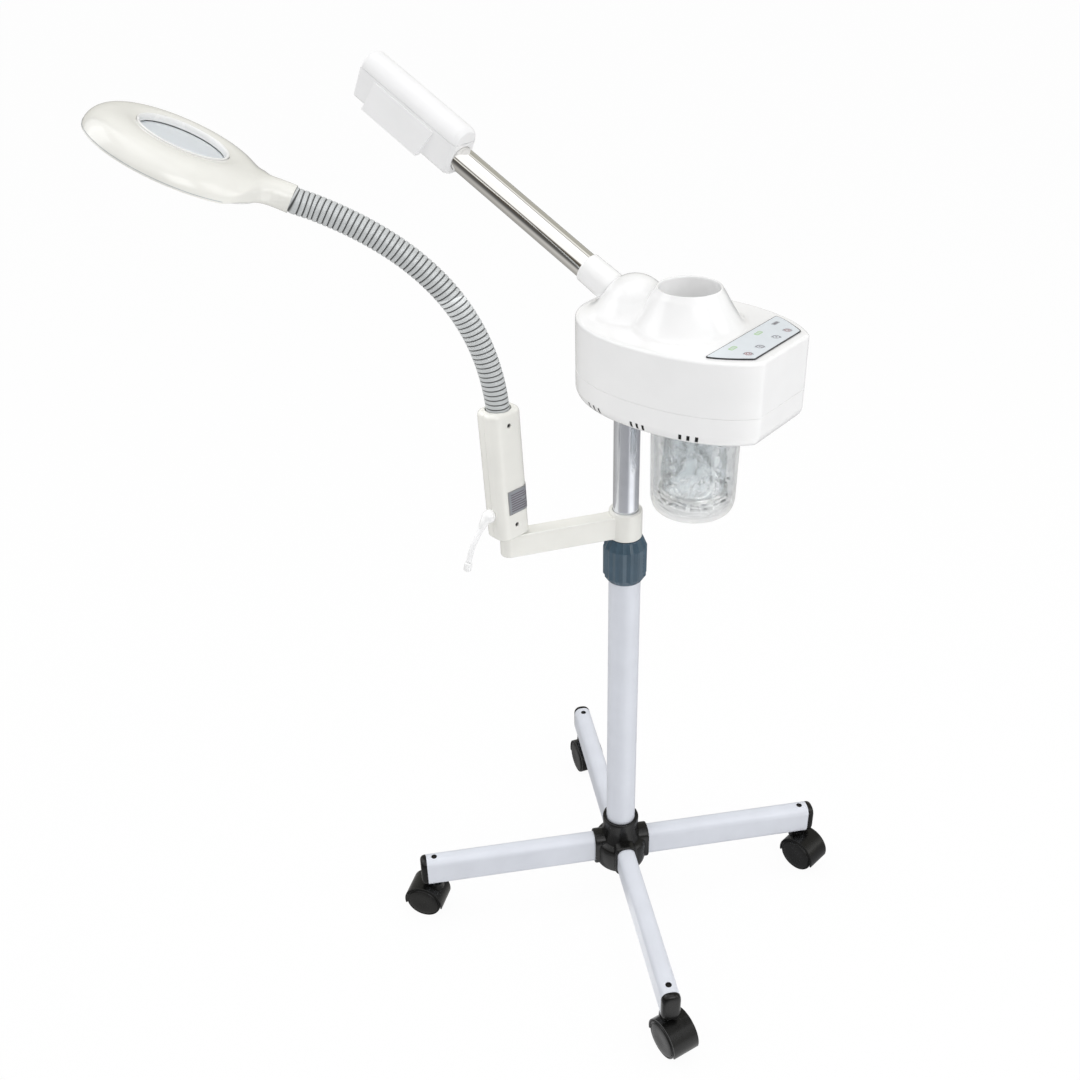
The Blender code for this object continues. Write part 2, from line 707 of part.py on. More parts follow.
def build_lamp_stand(arm, handle):
    node("lamp_arm", lamp_arm_shape(), "ivory_plastic", arm)
    node("handle_front_shell", handle_front_shape(), "ivory_plastic", handle)
    node("handle_back_shell", handle_back_shape(), "ivory_plastic", handle)
    pin = turned_solid([(PIN_RADIUS, -22), (PIN_RADIUS, 22)], 20)
    node("handle_pivot_pin", pin, "steel", handle)
    for name, height in zip(("lower_handle_screw", "upper_handle_screw"), HANDLE_SCREWS):
        screw = turned_solid([(1.8, 11.8), (1.8, HANDLE_HALF_DEPTH - 0.6)], 16)
        node(name, moved(screw, turn=(0, 90, 0)), "steel", handle, (0, 0, height))
    node("rating_plate", rating_plate_shape(), "steel", handle)
    node("lead_boot", lead_boot_shape(), "white_plastic", handle)
    lead_object(handle)
    node("lead_connector", lead_connector_shape(), "white_plastic", handle)


# ---------------------------------------------------------------- gooseneck


def neck_frame():
    """The handle's foot and the level direction in which the gooseneck leans."""
    a = math.radians(ARM_TURN)
    foot = Vector((ARM_LENGTH * math.cos(a), ARM_LENGTH * math.sin(a), 0))
    b = math.radians(NECK_TURN)
    return foot, Vector((math.cos(b), math.sin(b), 0))


def neck_point(t):
    """A point on the gooseneck's centreline, t from 0 at the handle to 1 at the lamp head."""
    foot, out = neck_frame()
    a = math.radians(NECK_START_TILT)
    b = math.radians(NECK_END_SLOPE)
    start, end = Vector(NECK_START), Vector(NECK_END)
    first = start + Vector((math.sin(a), math.cos(a))) * NECK_START_PULL
    second = end - Vector((math.cos(b), math.sin(b))) * NECK_END_PULL
    flat = bezier([(*p, 0) for p in (start, first, second, end)], t)
    return foot + out * flat.x + Vector((0, 0, flat.y))


def head_rotation():
    """The lamp head's orientation about the column's axis."""
    turned = Matrix.Rotation(math.radians(HEAD_TURN), 3, "Z")
    tilted = Matrix.Rotation(math.radians(-HEAD_TILT), 3, "Y")
    return turned @ tilted @ Matrix.Rotation(math.radians(HEAD_ROLL), 3, "X")


def head_end():
    """The gooseneck's last two points, square to the face of the lamp head's neck."""
    turn = head_rotation()
    places = ((HEAD_NECK_X - 4.0, 0, HEAD_NECK_Z), (HEAD_NECK_X - GAP, 0, HEAD_NECK_Z))
    return [Vector(HEAD_PLACE) + turn @ Vector(p) for p in places]


def neck_piece(origin, first, last, round_first, round_last, before=(), after=()):
    """A length of the gooseneck about a joint's point, with a ball end at each joint."""
    steps = 8
    times = [first + (last - first) * i / steps for i in range(steps + 1)]
    centres = list(before) + [neck_point(t) for t in times] + list(after)
    radii = [NECK_RADIUS] * len(centres)
    if round_last:
        centres, radii = with_ball_end(centres, radii)
    if round_first:
        centres, radii = with_ball_end(centres[::-1], radii[::-1])
    return swept([c - origin for c in centres], radii, 14)


def with_ball_end(centres, radii):
    """Replace the last stretch with a half ball that ends just short of the last point."""
    tip = Vector(centres[-1])
    reach = NECK_RADIUS + NECK_GAP
    kept = [c for c in centres if (Vector(c) - tip).length > reach * 1.15]
    radii = radii[: len(kept)]
    along = (tip - Vector(kept[-1])).normalized()
    middle = tip - along * reach
    turns = [math.radians(a) for a in (0, 30, 55, 78)]
    ball = [middle + along * (NECK_RADIUS * math.sin(a)) for a in turns]
    return kept + ball, radii + [NECK_RADIUS * math.cos(a) for a in turns]


def build_gooseneck(handle_foot, middle, head_joint):
    """Three lengths; the lower one is on the handle and the upper one on the lamp head."""
    low, high = NECK_JOINTS
    foot, out = neck_frame()
    a = math.radians(NECK_START_TILT)
    start = neck_point(0.0)
    down = (out * math.sin(a) + Vector((0, 0, math.cos(a)))) * -NECK_PLUG
    plug = [start + down, start + down / 2]
    lower = neck_piece(Vector((0, 0, 0)), 0.0, low, False, True, before=plug)
    handle_turn = Matrix.Rotation(math.radians(HANDLE_TURN), 4, "Z")
    place = Matrix.Translation((foot.x, foot.y, ARM_TOP)) @ handle_turn
    lower.transform(place.inverted())
    node("gooseneck_lower", lower, "gooseneck_metal", handle_foot)
    centre = neck_point(low)
    node("gooseneck_middle", neck_piece(centre, low, high, True, True), "gooseneck_metal", middle)
    centre = neck_point(high)
    upper = neck_piece(centre, high, NECK_LAST, True, False, after=head_end())
    node("gooseneck_upper", upper, "gooseneck_metal", head_joint)


# ---------------------------------------------------------------- lamp head


def dome_profile(radius, top, hole, steps=4):
    """Points from the rim up to the lens hole's edge."""
    flat = hole + 8.0
    points = []
    for i in range(steps + 1):
        a = math.radians(90 * i / steps)
        points.append((flat + (radius - flat) * math.cos(a) ** 0.9, top * math.sin(a)))
    points.append((hole, top - 1.2))
    return points


def head_top_shape():
    """The domed upper shell with its lens hole, and the neck that takes the gooseneck."""
    outside = dome_profile(HEAD_RADIUS, HEAD_DOME, LENS_HOLE)
    under = dome_profile(HEAD_RADIUS - HEAD_WALL, HEAD_DOME - HEAD_WALL, LENS_HOLE)
    shell = turned_ring(outside + under[::-1], HEAD_SIDES)
    stations = ((HEAD_NECK_X, HEAD_NECK_RADIUS, HEAD_NECK_RADIUS, HEAD_NECK_Z),)
    stations += ((-86.0, 12.4, 11.6, 11.9), (-78.0, 15.5, 11.0, 11.3))
    stations += ((-68.0, 24.0, 10.0, 10.3), (-56.0, 38.0, 9.0, 9.6))
    rings = []
    for x, half_y, half_z, z in stations:
        turns = [2 * math.pi * i / 16 for i in range(16)]
        rings.append([(x, half_y * math.cos(a), z + half_z * math.sin(a)) for a in turns])
    inside = dome_profile(HEAD_RADIUS - HEAD_WALL / 2, HEAD_DOME - HEAD_WALL / 2, LENS_HOLE)
    cavity = turned_solid([(HEAD_RADIUS - HEAD_WALL / 2, -5)] + inside[:-1], HEAD_SIDES)
    return welded(shell, cut(loft(rings), cavity))


def head_bottom_shape():
    """The flat lower cover that carries the lens from below and lets the light through."""
    edge = HEAD_RADIUS - HEAD_WALL - 0.9
    inner, outer, top = LENS_COLLAR
    profile = [(inner, 0.6), (52.0, 0.2), (edge, 0.6), (edge, 3.0)]
    profile += [(outer, 3.0), (outer, top), (inner, top)]
    return turned_ring(profile, HEAD_SIDES)


def lens_shape():
    """A biconvex lens whose rim rests on the lower cover's collar."""
    low, high = LENS_EDGE
    steps = 3
    shares = [i / steps for i in range(1, steps + 1)]
    upper = [(LENS_RADIUS * f, high + LENS_CROWN * (1 - f * f)) for f in shares]
    lower = [(LENS_RADIUS * f, low - 0.7 * LENS_CROWN * (1 - f * f)) for f in shares]
    return turned_solid(lower + upper[::-1], 36)


def build_lamp_head(head):
    node("lamp_head_top", head_top_shape(), "ivory_plastic", head)
    node("lamp_head_bottom", head_bottom_shape(), "white_plastic", head)
    node("light_ring_board", pipe(*LIGHT_BOARD, 24), "circuit_board", head)
    node("magnifier_lens", lens_shape(), "glass", head)
    node("lens_ring", turned_ring(LENS_RING, 36), "white_plastic", head)


# ---------------------------------------------------------------- steamer body


def body_outline(inset=0.0):
    """The body's outline, as offsets from the neck's axis, counter-clockwise from the front's right."""
    front = BODY_FRONT_X - NECK_X
    corner = body_half_width(front)
    points = [(front, corner * f) for f in (-0.93, -0.4, 0.4, 0.93)]
    sweep = [math.radians(a) for a in range(30, 175, 12)]
    side = [(front - 2.4, corner + 1.2)]
    for a in sweep:
        side.append(superellipse(a))
    points += side + [superellipse(math.pi)] + [(x, -y) for x, y in reversed(side)]
    return [inset_point(p, inset) for p in points]


def superellipse(a):
    """A point of the superellipse whose direction from the centre is near the angle a."""
    length = BODY_LENGTH_FRONT if math.cos(a) > 0 else BODY_LENGTH_REAR
    c, s = abs(math.cos(a)), abs(math.sin(a))
    reach = ((c / length) ** BODY_POWER + (s / BODY_HALF_WIDTH) ** BODY_POWER) ** (-1 / BODY_POWER)
    return (reach * math.cos(a), reach * math.sin(a))


def body_half_width(x):
    """Half the body's width at a distance in front of the neck's axis."""
    share = 1 - (x / BODY_LENGTH_FRONT) ** BODY_POWER
    return BODY_HALF_WIDTH * share ** (1 / BODY_POWER)


def inset_point(point, inset):
    """Shrink a point of the outline towards the neck's axis by about the given distance."""
    x, y = point
    return (x * (1 - inset / BODY_LENGTH_FRONT * 1.1), y * (1 - inset / BODY_HALF_WIDTH))


def blend_max(a, b, soft):
    """The larger of two heights, with a soft change from one to the other."""
    h = max(soft - abs(a - b), 0.0) / soft
    return max(a, b) + h * h * soft / 4


def cover_height(x, y):
    """Height of the top cover's outside; x and y are from the column's axis."""
    r = math.hypot(x - NECK_X, y)
    share = (r - WELL_OUTER) / (CONE_FOOT - WELL_OUTER)
    cone = BODY_TOP + (WELL_RIM - BODY_TOP) * (1 - share) * (1 - 0.28 * share)
    d = math.hypot(x - DOME_X, y)
    limit = DOME_RADIUS * math.sin(math.radians(62))
    if d < limit:
        dome = DOME_Z + math.sqrt(DOME_RADIUS**2 - d * d)
    else:
        dome = DOME_Z + DOME_RADIUS * math.cos(math.radians(62)) - (d - limit) * 1.6
    return blend_max(blend_max(BODY_TOP, cone, 4.0), dome, 6.0)


def cover_ring(share, drop=0.0, inset=5.0, inner=WELL_OUTER):
    """A ring over the cover between its edge, share 0, and the neck's outside, share 1."""
    points = []
    for x, y in body_outline(inset):
        reach = math.hypot(x, y)
        r = reach + (inner - reach) * share
        px, py = x / reach * r, y / reach * r
        points.append((NECK_X + px, py, cover_height(NECK_X + px, py) - drop))
    return points


def flat_ring(inset, z):
    return [(NECK_X + x, y, z) for x, y in body_outline(inset)]


def neck_ring(radius, z):
    """A circle round the neck with a point in line with each of the outline's."""
    points = []
    for x, y in body_outline():
        reach = math.hypot(x, y)
        points.append((NECK_X + x / reach * radius, y / reach * radius, z))
    return points


def top_cover_shape():
    wall = BODY_WALL
    rings = [flat_ring(0, BODY_SEAM + GAP), flat_ring(0, BODY_RIM)]
    rings += [flat_ring(0.9, BODY_RIM + 4.2), flat_ring(2.6, BODY_RIM + 6.4)]
    rings += [cover_ring(s) for s in COVER_SHARES]
    rings += [neck_ring(WELL_OUTER, WELL_RIM - 0.8), neck_ring(WELL_OUTER - 0.8, WELL_RIM)]
    rings += [neck_ring(WELL_INNER, WELL_RIM - 0.4), neck_ring(WELL_INNER - 1, WELL_BOTTOM)]
    rings += [neck_ring(WELL_OUTER - 1, WELL_BOTTOM)]
    rings += [cover_ring(s, wall + 0.4) for s in reversed(COVER_SHARES)]
    rings += [flat_ring(wall, BODY_RIM + 1), flat_ring(wall, BODY_SEAM + GAP)]
    cover = loft(rings, closed=True)
    arm_way = turned_solid([(14.6, 20), (14.6, 50)], 20)
    cover = cut(cover, moved(arm_way, (DOME_X, 0, DOME_Z), (0, SPRAY_RISE - 90, 0)))
    ways = []
    for y in BUTTON_PLACES:
        way = turned_solid([(BUTTON_RADIUS + 0.5, BODY_TOP - 8), (BUTTON_RADIUS + 0.5, BODY_TOP + 5)], 12)
        ways.append(moved(way, (BUTTON_X, y, 0)))
    return cut(cover, joined(*ways), box(*INLET_WAY))


def vent_places():
    """Directions of the vent slots, seen from the neck's axis, in degrees."""
    groups = (-129.0, -91.0, -55.0, 55.0, 91.0, 129.0)
    return [centre + offset for centre in groups for offset in (-4.8, 0.0, 4.8)]


def bottom_cover_shape():
    """The tray under the body: its wall, its floor with the jar's opening, and the vent slots."""
    wall = BODY_WALL

    def jar_ring(radius, z):
        return [(x + JAR_X - NECK_X, y, z) for x, y, z in neck_ring(radius, z)]

    rings = [flat_ring(0, BODY_SEAM), flat_ring(0, BODY_BOTTOM + 10), flat_ring(2.2, BODY_BOTTOM + 3.0)]
    rings += [flat_ring(6.5, BODY_BOTTOM), jar_ring(JAR_HOLE, BODY_BOTTOM)]
    rings += [jar_ring(JAR_HOLE, BODY_BOTTOM + wall), flat_ring(8.0, BODY_BOTTOM + wall)]
    rings += [flat_ring(4.0, BODY_BOTTOM + 6.5), flat_ring(wall, BODY_BOTTOM + 12)]
    rings += [flat_ring(wall, BODY_SEAM)]
    tray = loft(rings, closed=True)
    tube_way = turned_solid([(UPPER_TUBE_RADIUS + 0.8, 620), (UPPER_TUBE_RADIUS + 0.8, 650)])
    slots = []
    for direction in vent_places():
        reach = math.hypot(*superellipse(math.radians(direction)))
        slot = box((reach - 9, -1.0, BODY_BOTTOM + 2.8), (reach + 6, 1.0, BODY_BOTTOM + 7.8))
        slots.append(moved(slot, (NECK_X, 0, 0), (0, 0, direction)))
    return cut(tray, tube_way, joined(*slots))


def panel_shape():
    """The membrane panel, a thin plate with a hole for each button."""
    outline = [(PANEL_REAR_X, -PANEL_REAR_HALF), (PANEL_FRONT_X - 6, -PANEL_FRONT_HALF - 5.5)]
    outline += [(PANEL_FRONT_X, -PANEL_FRONT_HALF), (PANEL_FRONT_X, PANEL_FRONT_HALF)]
    outline += [(PANEL_FRONT_X - 6, PANEL_FRONT_HALF + 5.5), (PANEL_REAR_X, PANEL_REAR_HALF)]
    ways = []
    for y in BUTTON_PLACES:
        way = turned_solid([(BUTTON_RADIUS + 0.4, 700), (BUTTON_RADIUS + 0.4, 720)], 12)
        ways.append(moved(way, (BUTTON_X, y, 0)))
    return cut(prism(outline, PANEL_BOTTOM, PANEL_TOP), joined(*ways))


def chamber_cap_shape():
    """The lid over the jar, with the funnel that meets the neck and the way down into the jar."""

    def ring(x, radius, z):
        return circle(radius, z, 28, (x, 0))

    top = LID_BOTTOM + LID_THICKNESS
    mouth = WELL_BOTTOM - 0.6
    rings = [ring(JAR_X, LID_RADIUS, LID_BOTTOM), ring(JAR_X, LID_RADIUS, top)]
    rings += [ring(NECK_X, FUNNEL_RADIUS, top + 0.2), ring(NECK_X, FUNNEL_RADIUS, mouth)]
    rings += [ring(NECK_X, FUNNEL_RADIUS - 2.0, mouth), ring(NECK_X, FUNNEL_RADIUS - 2.4, top + 2.4)]
    rings += [ring(NECK_X, STEAM_HOLE, top + 0.4), ring(NECK_X, STEAM_HOLE, LID_BOTTOM)]
    return loft(rings, closed=True)


def jar_shape():
    """The glass jar about its own axis."""
    top, low = JAR_RADIUS_TOP, JAR_RADIUS_BOTTOM
    outside = [(8.0, JAR_BOTTOM + 1.5), (24.0, JAR_BOTTOM), (31.5, JAR_BOTTOM + 1.2)]
    outside += [(36.4, JAR_BOTTOM + 5), (low, JAR_BOTTOM + 11), (top, JAR_TOP - 8), (top, JAR_TOP)]
    thin = JAR_WALL
    inside = [(r - thin, z) for r, z in outside[::-1][:3]]
    inside += [(33.6, JAR_BOTTOM + 8), (29.0, JAR_BOTTOM + 5.2), (8.0, JAR_BOTTOM + 5.0)]
    return turned_solid(outside + inside, 28)


def heater_shape():
    """The sheathed heating element: down from the lid, once round in a ring, and up again."""
    turns = [math.radians(HEATER_TURN + a) for a in range(12, 349, 24)]
    loop = [(HEATER_RADIUS * math.cos(a), HEATER_RADIUS * math.sin(a), HEATER_LEVEL) for a in turns]
    rise = [(*loop[0][:2], z) for z in (LID_BOTTOM - 0.4, HEATER_LEVEL + 6)]
    back = [(*loop[-1][:2], z) for z in (HEATER_LEVEL + 6, LID_BOTTOM - 0.4)]
    route = rise + loop[1:-1] + back
    return swept(route, [HEATER_ROD] * len(route), 8)


def socket_shape():
    """The socket that sits on the column's top, with a way for the wires."""
    bore = UPPER_TUBE_RADIUS + GAP
    stop = UPPER_TUBE_TOP + 0.5
    profile = [(SOCKET_RADIUS, SOCKET_BOTTOM), (SOCKET_RADIUS, SOCKET_TOP)]
    profile += [(SOCKET_WIRE_HOLE, SOCKET_TOP), (SOCKET_WIRE_HOLE, stop)]
    profile += [(bore, stop), (bore, SOCKET_BOTTOM)]
    return turned_ring(profile, 28)


def build_steamer(steamer, buttons, jar):
    node("top_cover", top_cover_shape(), "white_plastic", steamer)
    node("bottom_cover", bottom_cover_shape(), "white_plastic", steamer)
    node("control_panel", panel_shape(), "panel_film", steamer)
    for name, parent in buttons.items():
        button = turned_solid([(BUTTON_RADIUS, -2.1), (BUTTON_RADIUS, 1.2), (BUTTON_RADIUS - 0.6, 1.7)], 12)
        node(name, button, "white_plastic", parent)
    node("chamber_cap", chamber_cap_shape(), "white_plastic", steamer)
    node("jar_ring", pipe(*HOLDER, 32), "white_plastic", steamer, (JAR_X, 0, 0))
    node("glass_jar", jar_shape(), "glass", jar)
    node("heating_element", heater_shape(), "steel", steamer, (JAR_X, 0, 0))
    probe = turned_solid([(1.3, HEATER_LEVEL + 6), (1.3, LID_BOTTOM - 0.4)], 12)
    node("level_probe", probe, "steel", steamer, (JAR_X + PROBE[0], PROBE[1], 0))
    node("column_socket", socket_shape(), "white_plastic", steamer)
    node("circuit_board", box(*BOARD), "circuit_board", steamer)
    node("power_inlet", cut(box(*INLET), box(*INLET_HOLLOW)), "black_plastic", steamer)


# ---------------------------------------------------------------- spray arm and nozzle


def spray_collar_shape():
    """The collar in the dome, with the seat for the tube and a way for the steam."""
    low, high = SPRAY_COLLAR
    bore = SPRAY_TUBE_RADIUS + GAP
    profile = [(14.2, low), (14.0, low + 14), (13.6, high - 1), (13.2, high), (bore, high)]
    profile += [(bore, low + 4), (9.0, low + 4), (9.0, low)]
    screw_way = moved(turned_solid([(2.1, 5), (2.1, 20)], 16), (0, 0, 47), (0, 90, 0))
    return cut(turned_ring(profile), moved(screw_way, turn=(0, 0, 35)))


def nozzle_section(half, split, floor, drop=0.0):
    """The lower shell's outline across the arm: +X is up out of the arm, +Y is sideways."""
    corner = 3.0
    points = [(split, -half), (split, half), (floor + corner, half), (floor, half - corner)]
    points += [(floor, corner - half), (floor + corner, -half)]
    return [(x - drop, y) for x, y in points]


def nozzle_lower_shape():
    """The tray of the nozzle: flat sides and floor, closed at both ends, open at the top."""
    start, end = NOZZLE
    split = NOZZLE_SPLIT - GAP / 2
    outer = nozzle_section(NOZZLE_HALF, split, NOZZLE_FLOOR)
    small = nozzle_section(NOZZLE_HALF - 2.5, split, NOZZLE_FLOOR + 1.5)
    rings = [[(x, y, start) for x, y in small], [(x, y, start + 4) for x, y in outer]]
    rings += [[(x, y, end) for x, y in outer]]
    tray = loft(rings)
    tray = welded(tray, grip_pad(1), grip_pad(-1))
    wall = NOZZLE_WALL
    inside = nozzle_section(NOZZLE_HALF - wall, split + 10, NOZZLE_FLOOR + wall)
    hollow = prism(inside, start + 6, end - wall)
    tube_way = turned_solid([(SPRAY_TUBE_RADIUS + GAP, start - 5), (SPRAY_TUBE_RADIUS + GAP, start + 20)])
    outlet = box((-10.5, -9.5, end - 10), (9.5, 9.5, end + 5))
    return cut(tray, hollow, tube_way, outlet)


def grip_pad(side):
    """The raised wedge on a side of the nozzle, thickest along its lower edge."""
    start, end = NOZZLE
    half = NOZZLE_HALF - 1.0
    high, low = NOZZLE_SPLIT - 3, NOZZLE_FLOOR - 1.5
    corners = [(high, half + 1.8, start + 27), (high, half + 1.8, end - 21)]
    corners += [(low, half + 5.5, end - 17), (low, half + 5.5, start + 36)]
    back = [(x, half - 0.5, z) for x, y, z in corners]
    face = [(x, y * side, z) for x, y, z in corners]
    return loft([[(x, y * side, z) for x, y, z in back], face])


def nozzle_upper_shape():
    """The roof of the nozzle: half a pipe, closed at both ends."""
    start, end = NOZZLE

    def arch(radius, z, base):
        turns = [math.radians(a) for a in range(0, 181, 15)]
        return [(base + radius * math.sin(a), radius * math.cos(a), z) for a in turns]

    low = NOZZLE_SPLIT + GAP / 2
    rings = [arch(NOZZLE_HALF - 2.5, start, low), arch(NOZZLE_HALF, start + 4, low)]
    rings += [arch(NOZZLE_HALF, end - 2.5, low), arch(NOZZLE_HALF - 2.0, end, low)]
    half = NOZZLE_HALF - NOZZLE_WALL
    inside = [arch(half, z, low) + [(low - 3, -half, z), (low - 3, half, z)] for z in (start + 6, end - 4)]
    return cut(loft(rings), loft(inside))


def grille_shape():
    """The outlet's grille, a plate with four slots that sits in the nozzle's far end."""
    end = NOZZLE[1]
    plate = box((-10.2, -9.2, end - 2.0), (9.2, 9.2, end - 0.4))
    slots = [box((x, -7.0, end - 5), (x + 2.2, 7.0, end + 5)) for x in (-8.0, -3.6, 0.8, 5.2)]
    return cut(plate, joined(*slots))


def build_spray_arm(arm, nozzle):
    node("spray_arm_collar", spray_collar_shape(), "white_plastic", arm)
    screw = moved(turned_solid([(1.8, 12.5), (1.8, 13.9)], 16), turn=(0, 90, 0))
    node("spray_collar_screw", moved(screw, (0, 0, 47), (0, 0, 35)), "steel", arm)
    tube = pipe(SPRAY_TUBE_RADIUS, SPRAY_TUBE_RADIUS - 1, *SPRAY_TUBE)
    node("spray_tube", tube, "chrome", arm)
    node("nozzle_lower_shell", nozzle_lower_shape(), "white_plastic", nozzle)
    node("nozzle_upper_shell", nozzle_upper_shape(), "white_plastic", nozzle)
    node("nozzle_grille", grille_shape(), "white_plastic", nozzle)


# ---------------------------------------------------------------- the whole


def build_all():
    clear_scene()
    column = empty("column_axis", None, (COLUMN_X, COLUMN_Y, 0))
    build_base(column)
    build_column(column, empty("lift_axis", column))
    arm = empty("lamp_arm_axis", column, turn=(0, 0, ARM_TURN))
    foot, out = neck_frame()
    handle_base = empty("handle_foot", column, (foot.x, foot.y, ARM_TOP), (0, 0, HANDLE_TURN))
    handle = empty("handle_axis", handle_base, turn=handle_lean())
    build_lamp_stand(arm, handle)
    middle = empty("gooseneck_lower_axis", column, neck_point(NECK_JOINTS[0]))
    joint_place = neck_point(NECK_JOINTS[1])
    head_joint = empty("gooseneck_upper_axis", column, joint_place)
    head = empty("lamp_head_frame", head_joint, Vector(HEAD_PLACE) - joint_place)
    head.rotation_euler = head_rotation().to_euler()
    build_gooseneck(handle_base, middle, head_joint)
    build_lamp_head(head)
    steamer = empty("steamer_axis", column)
    places = zip(BUTTON_NAMES, BUTTON_PLACES)
    buttons = {n: empty(n + "_axis", steamer, (BUTTON_X, y, BODY_TOP)) for n, y in places}
    jar = empty("jar_axis", steamer, (JAR_X, 0, 0))
    build_steamer(steamer, buttons, jar)
    spray = empty("spray_axis", steamer, (DOME_X, 0, DOME_Z), (0, SPRAY_RISE - 90, 0))
    build_spray_arm(spray, spray)


build_all()
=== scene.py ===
"""Looks for a floor-standing facial steamer with a magnifying lamp on a gooseneck.

Shapes are made in millimetres about the column's axis, z up from the floor, and piece() puts them
into the frame in metres. Each piece rides on the CAD body that carries the node it stands for.
"""

import math
import random

import bmesh
import bpy
from mathutils import Euler, Matrix, Vector, noise


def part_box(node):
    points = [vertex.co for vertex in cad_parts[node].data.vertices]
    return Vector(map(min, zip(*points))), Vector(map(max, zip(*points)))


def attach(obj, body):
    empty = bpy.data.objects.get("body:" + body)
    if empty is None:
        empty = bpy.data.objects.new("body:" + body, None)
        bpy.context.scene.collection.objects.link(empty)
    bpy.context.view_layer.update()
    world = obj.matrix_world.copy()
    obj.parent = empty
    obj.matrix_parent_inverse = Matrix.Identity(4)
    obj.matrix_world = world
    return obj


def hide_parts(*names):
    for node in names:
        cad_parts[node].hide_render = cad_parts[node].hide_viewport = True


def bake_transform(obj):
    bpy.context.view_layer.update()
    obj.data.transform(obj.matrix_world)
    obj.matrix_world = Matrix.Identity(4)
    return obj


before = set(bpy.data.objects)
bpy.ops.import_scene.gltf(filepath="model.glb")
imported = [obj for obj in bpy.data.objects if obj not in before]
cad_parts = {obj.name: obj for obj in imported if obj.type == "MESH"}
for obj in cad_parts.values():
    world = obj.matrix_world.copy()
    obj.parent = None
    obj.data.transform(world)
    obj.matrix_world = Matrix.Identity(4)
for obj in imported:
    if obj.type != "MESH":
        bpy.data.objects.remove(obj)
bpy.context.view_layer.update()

MM = 0.001
_low, _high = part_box("lower_tube")
COLUMN = Matrix.Translation(((_low.x + _high.x) / 2 / MM, (_low.y + _high.y) / 2 / MM, 0))


def put_at(at, turn):
    """The matrix of a move in millimetres and, before it, a turn by Euler degrees."""
    return Matrix.Translation(at) @ Euler([math.radians(a) for a in turn]).to_matrix().to_4x4()


def placed(at=(0, 0, 0), turn=(0, 0, 0), parent=COLUMN):
    """A frame moved and turned inside its parent."""
    return parent @ put_at(at, turn)


def heading(degrees):
    """The level direction at an angle from +X."""
    return Vector((*polar(1.0, math.radians(degrees)), 0))


def quarter_turn(steps):
    """The angles of a quarter turn in so many steps, without the first."""
    return [math.radians(90 * k / steps) for k in range(1, steps + 1)]


def polar(radius, angle):
    return radius * math.cos(angle), radius * math.sin(angle)


def shown(name, data):
    """A new object in the scene."""
    made = bpy.data.objects.new(name, data)
    bpy.context.scene.collection.objects.link(made)
    return made


# ---------------------------------------------------------------- sizes shared with the CAD source

LEG_ANGLES = {"front_right": -41.3, "front_left": 48.7, "rear_left": 138.7, "rear_right": 228.7}
HOOD_TURNS = {"front_right": -20.0, "front_left": -6.0, "rear_left": -31.0, "rear_right": 203.0}
LEG_MID = 63.5
LEG_TOP = 82.0
LEG_END = 224.0
STEM_REACH = 215.0
WHEEL = 20.0
TRAIL = 12.0
ARM_TURN = -124.1
ARM_LENGTH = 117.2
ARM_TOP = 504.0
ARM_HALF = 8.5
HANDLE_TURN = -9.5
HANDLE_LEAN = 2.2
HANDLE_LEAN_TOWARDS = 219.0
HANDLE_HALF = (14.0, 17.5)
HANDLE_CORNER = 9.0
HANDLE_SCREWS = (14.5, 115.5)
NECK_TURN = 219.0
NECK_JOINTS = (0.30, 0.70)
HEAD_PLACE = (-259.1, -256.0, 853.3)
HEAD_PITCH = -28.1
HEAD_ROLL = 2.6
HEAD_RADIUS = 72.3
HEAD_DOME = 20.7
LENS_HOLE = 36.8
HEAD_NECK_X = -93.0
HEAD_NECK_Z = 12.3
NECK_X = 61.0
JAR_X = 74.0
DOME = (6.0, 0.0, 711.5)
SPRAY_RISE = 27.2
NOZZLE = (222.0, 350.0)
BUTTON_X = 138.0
BUTTONS = {"power_button": -31.5, "steam_button": -13.0, "ozone_button": 13.0, "timer_button": 31.5}

LEAD_RADIUS = 2.5
LEAD_ROUTE = (
    (0.0, -31.3, 17.7),
    (0.0, -33.5, 15.4),
    (0.0, -36.0, 12.6),
    (0.0, -38.5, 9.6),
    (0.0, -40.8, 6.6),
    (0.0, -42.9, 3.4),
    (0.0, -44.8, 0.1),
    (0.0, -46.6, -3.4),
    (0.0, -48.2, -7.0),
    (0.0, -49.4, -10.2),
)

_foot = heading(ARM_TURN) * ARM_LENGTH
_lean = math.radians(HANDLE_LEAN_TOWARDS - HANDLE_TURN)
ARM = placed(turn=(0, 0, ARM_TURN))
HANDLE_BASE = placed((_foot.x, _foot.y, ARM_TOP), (0, 0, HANDLE_TURN))
HANDLE_TILT = (-HANDLE_LEAN * math.sin(_lean), HANDLE_LEAN * math.cos(_lean), 0)
HANDLE = placed(turn=HANDLE_TILT, parent=HANDLE_BASE)
HEAD_TURN = (
    Matrix.Rotation(math.radians(NECK_TURN), 4, "Z")
    @ Matrix.Rotation(math.radians(HEAD_PITCH), 4, "Y")
    @ Matrix.Rotation(math.radians(HEAD_ROLL), 4, "X")
)
HEAD = COLUMN @ Matrix.Translation(HEAD_PLACE) @ HEAD_TURN
SPRAY = placed(DOME, (0, SPRAY_RISE - 90, 0))


# ---------------------------------------------------------------- camera, floor and light

CAMERA_PLACE = (568.1, -808.3, 1071.1)
CAMERA_TURN = 39.945
CAMERA_RISE = 31.183
CAMERA_ROLL = -1.545
CAMERA_LENS = 39.21


